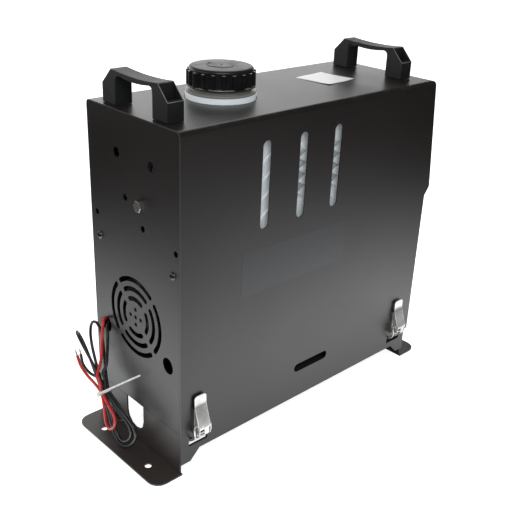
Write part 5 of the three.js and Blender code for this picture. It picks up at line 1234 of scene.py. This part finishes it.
class HEATER_OT_labels(bpy.types.Operator):
    """Add the blank sticker on the top, the plain film on the front and the signs on the buttons"""

    bl_idname = "heater.labels"
    bl_label = "Labels"

    def execute(self, context):
        a, b = np.meshgrid(np.linspace(0, 1, 16), np.linspace(0, 1, 16), indexing="ij")
        corners = np.array(STICKER_CORNERS)
        flat = ((1 - a) * (1 - b))[..., None] * corners[0] + (a * (1 - b))[..., None] * corners[1] \
            + (a * b)[..., None] * corners[2] + ((1 - a) * b)[..., None] * corners[3]
        lift = 0.15 + 1.3 * np.clip(1.6 * (b - a) - 0.75, 0, 1) ** 2 + 0.25 * np.sin(5 * a + 3 * b) ** 2
        points = np.concatenate([flat * MM, (HOOD_TOP + lift * MM)[..., None]], -1)
        sticker = outward(new_mesh("sticker", points, grid_faces(16, 16), "paper"))
        sheet = sticker.modifiers.new("paper", "SOLIDIFY")
        sheet.thickness = 0.1 * MM
        outline = rounded_box_points(np.array(FILM_LOW) * MM, np.array(FILM_HIGH) * MM, 1 * MM)
        front = axes((1, 0, 0), (0, 0, 1), (0, HOOD_FRONT, 0))
        film = slab("front_film", [outline], 0.07 * MM, front, "label")
        middle, reach = np.array(LOW_SLOT_MIDDLE) * MM, np.array(LOW_SLOT_HALF) * MM
        low_slot = slab("low_slot_rim", [
            rounded_box_points(middle - reach - 0.5 * MM, middle + reach + 0.5 * MM, 1 * MM),
            rounded_box_points(middle - reach, middle + reach, 5.2 * MM, 10)],
            1.0 * MM, axes((1, 0, 0), (0, 0, 1), (0, HOOD_FRONT + 1.04 * MM, 0)), "hood")
        for piece, slot in ((sticker, "white_plastic"), (film, "coat"), (low_slot, "coat")):
            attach(piece, "case")
        self.signs()
        return {"FINISHED"}

    def signs(self):
        """Flat printed signs: a broken ring with a bar, a ring, and two triangles."""
        lean = math.atan2(FLARE_REACH, FLARE_RISE)
        out = Vector((math.cos(lean), 0, math.sin(lean)))
        up = Vector((-math.sin(lean), 0, math.cos(lean)))
        ring = [circle_points((0, 0), 2.2 * MM, 32), circle_points((0, 0), 1.6 * MM, 32)]
        broken = arc_slot((0, 0), 1.9 * MM, 0.5 * MM, -np.pi / 2, math.radians(140), 24)
        bar = rounded_box_points((-0.3 * MM, 0.4 * MM), (0.3 * MM, 2.6 * MM), 0.15 * MM, 3)
        peak = np.array([[-2, -1.3], [2, -1.3], [0, 1.9]]) * MM
        signs = {"power": [[broken], [bar]], "set": [ring], "up": [[peak]], "down": [[-peak]]}
        for key, shapes in signs.items():
            name = "button_" + key
            low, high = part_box(name)
            centre = (low + high) / 2
            centre += out * (reach_of(name, out) - centre.dot(out))
            for i, shape in enumerate(shapes):
                sign = slab(f"sign_{key}_{i}", shape, 0.12 * MM, axes((0, 1, 0), up, centre), "sign")
                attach(sign, name + "_key")


# ---------------------------------------------------------------- stage


# The photograph's view: turned round, down and about the lens's axis in degrees, the focal length in pixels
# of a frame this wide, and the camera's place in metres.
VIEW_ANGLES = (43.76, 24.68, 2.4)
VIEW_FOCAL, VIEW_WIDTH = 786.3, 510
VIEW_PLACE = (-0.60575, -0.6108, 0.5746)
SENSOR = 36
# Name, place, target, width and height, and power of each soft box.
LAMPS = (("key", (-0.9, -1.2, 1.5), (0, 0, 0.2), (1.0, 1.0), 14),
         ("fill", (-1.6, 0.6, 1.0), (0, 0, 0.15), (1.2, 1.2), 4.5),
         ("back", (0.9, 1.2, 1.6), (0, 0, 0.3), (1.0, 1.0), 6),
         ("card", (0.2, 0.62, 0.49), (0.1, 0, 0.47), (1.7, 0.4), 3.7))
FLOOR_REACH = 6.0
# The painted shadow on the floor under the case: the widths over which its left, right and long edges fade.
UNDER_SHADOW_LEFT, UNDER_SHADOW_RIGHT, UNDER_SHADOW_SIDE = (-0.161, -0.158), (0.15, 0.17), (0.036, 0.040)


class HEATER_OT_stage(bpy.types.Operator):
    """Add the floor, the lamps and the camera"""

    bl_idname = "heater.stage"
    bl_label = "Stage"
    glow_reach = 0.8
    glow_power = 3.3
    world_light = 0.42
    world_shine = 0.06

    def execute(self, context):
        scene = context.scene
        scene.view_settings.view_transform = "Standard"
        self.floor()
        self.world(scene)
        for lamp in LAMPS:
            self.lamp(*lamp)
        self.camera(scene)
        return {"FINISHED"}

    def floor(self):
        """A pale plane: white to the camera away from the object, darker near it by its own shadow and a
        painted shadow, with a painted shadow under the case, and to shiny surfaces a painted pool of light
        round the base, dark under the case and far off."""
        mesh = bpy.data.meshes.new("floor")
        corners = [(x * FLOOR_REACH, y * FLOOR_REACH, 0) for x, y in ((-1, -1), (1, -1), (1, 1), (-1, 1))]
        mesh.from_pydata(corners, [], [(0, 1, 2, 3)])
        paper = Finish("floor paper")
        x, y = paper.along("X"), paper.along("Y")
        away_x = (x - HOOD_HIGH.x).least(0.0) + (-1 * x - HOOD_HIGH.x).least(0.0) * 1.7
        away_y = (y.size() - HOOD_HIGH.y).least(0.0)
        away = (away_x * away_x + away_y * away_y) ** 0.5
        near = (1 - away / self.glow_reach).clamp() ** 1.25
        # Shiny surfaces see a painted pool of light on the floor round the base, dark under the case and far
        # off.
        painted_light_pool = paper.blend(near * away.above(0.0) * (0.36 + 0.64 * away.ramp_between(0.0, 0.14)),
                             (0.01, 0.01, 0.01), (0.96, 0.98, 1.0))
        # To the camera the floor is darker near the object: a painted shadow.
        white = paper.blend(away.ramp_between(0.02, 0.4), (0.86, 0.86, 0.86), (1, 1, 1))
        # A painted shadow on the floor under the case.
        under = x.ramp_between(*UNDER_SHADOW_LEFT) * (1 - x.ramp_between(*UNDER_SHADOW_RIGHT)) \
            * (1 - y.size().ramp_between(*UNDER_SHADOW_SIDE))
        white = paper.blend(under, white, (0.01, 0.01, 0.01))
        path = paper.node("ShaderNodeLightPath", output="Is Camera Ray")
        glossy = paper.node("ShaderNodeLightPath", output="Is Glossy Ray")
        diffuse = paper.node("ShaderNodeBsdfDiffuse", inputs={"Color": (0.86, 0.86, 0.86)})
        seen = paper.node("ShaderNodeEmission", inputs={"Color": white, "Strength": 1.0})
        shone = paper.node("ShaderNodeEmission", inputs={"Color": painted_light_pool, "Strength": self.glow_power})
        both = paper.node("ShaderNodeAddShader", inputs={0: diffuse, 1: seen})
        plain = paper.node("ShaderNodeMixShader", inputs={0: path, 1: diffuse, 2: both})
        whole = paper.node("ShaderNodeMixShader", inputs={0: glossy, 1: plain, 2: shone})
        paper.connect(paper.output.inputs[0], whole)
        paper.tree.nodes.remove(paper.surface)
        mesh.materials.append(paper.material)
        floor = add_object("floor", mesh)

    def world(self, scene):
        """A pale studio: white to the camera, soft as light and dim in reflections."""
        world = bpy.data.worlds.new("studio")
        scene.world = world
        world.use_nodes = True
        studio = NodeTree(world.node_tree)
        shader, *others = [
            studio.node("ShaderNodeBackground", inputs={"Color": (1, 1, 1), "Strength": strength})
            for strength in (self.world_light, self.world_shine, 1.0)]
        for ray, other in zip(("Is Glossy Ray", "Is Camera Ray"), others):
            path = studio.node("ShaderNodeLightPath", output=ray)
            shader = studio.node("ShaderNodeMixShader", inputs={0: path, 1: shader, 2: other})
        studio.make("ShaderNodeOutputWorld", inputs={0: shader})

    def lamp(self, name, place, target, size, power):
        """A soft box aimed at the target and hidden from the camera."""
        light = bpy.data.lights.new(name, "AREA")
        light.shape = "RECTANGLE"
        light.size, light.size_y = size
        light.energy = power
        lamp = add_object(name, light)
        lamp.location = place
        lamp.rotation_euler = (Vector(target) - Vector(place)).to_track_quat("-Z", "Y").to_euler()
        lamp.visible_camera = False

    def camera(self, scene):
        """The photograph's view: a long-normal lens turned a little about its axis."""
        yaw, pitch, roll = (math.radians(angle) for angle in VIEW_ANGLES)
        look = Vector((math.sin(yaw) * math.cos(pitch), math.cos(yaw) * math.cos(pitch), -math.sin(pitch)))
        right = Vector((math.cos(yaw), -math.sin(yaw), 0))
        up = right.cross(look)
        turned_right = math.cos(roll) * right + math.sin(roll) * up
        turned_up = math.cos(roll) * up - math.sin(roll) * right
        data = bpy.data.cameras.new("view")
        data.sensor_width = SENSOR
        data.lens = SENSOR * (VIEW_FOCAL / VIEW_WIDTH)
        data.clip_start = 0.05
        camera = add_object("view", data)
        basis = Matrix((turned_right, turned_up, -look)).transposed().to_4x4()
        camera.matrix_world = Matrix.Translation(VIEW_PLACE) @ basis
        scene.camera = camera


# ---------------------------------------------------------------- panel and registration

STEPS = (HEATER_OT_finishes, HEATER_OT_end_panel, HEATER_OT_filler_cap, HEATER_OT_handles, HEATER_OT_latches,
         HEATER_OT_labels, HEATER_OT_leads, HEATER_OT_cable_tie, HEATER_OT_stage)


class HEATER_PT_panel(bpy.types.Panel):
    """Lists the heater's sizes and its steps"""

    bl_idname = "HEATER_PT_panel"
    bl_label = "Diesel Air Heater"
    bl_space_type = "VIEW_3D"
    bl_region_type = "UI"
    bl_category = "Heater"

    def draw(self, context):
        sizes = context.scene.heater_sizes
        for name in HeaterSizes.__annotations__:
            self.layout.prop(sizes, name)
        for step in STEPS:
            self.layout.operator(step.bl_idname)


CLASSES = (HeaterSizes, *STEPS, HEATER_PT_panel)


def register():
    """Adds the classes and the scene's sizes."""
    for cls in CLASSES:
        bpy.utils.register_class(cls)
    bpy.types.Scene.heater_sizes = bpy.props.PointerProperty(type=HeaterSizes)


def unregister():
    """Removes what register added."""
    del bpy.types.Scene.heater_sizes
    for cls in reversed(CLASSES):
        bpy.utils.unregister_class(cls)


def main():
    """Builds the dressed heater and its stage."""
    register()
    for step in STEPS:
        group, name = step.bl_idname.split(".")
        getattr(getattr(bpy.ops, group), name)()


if __name__ == "__main__":
    main()
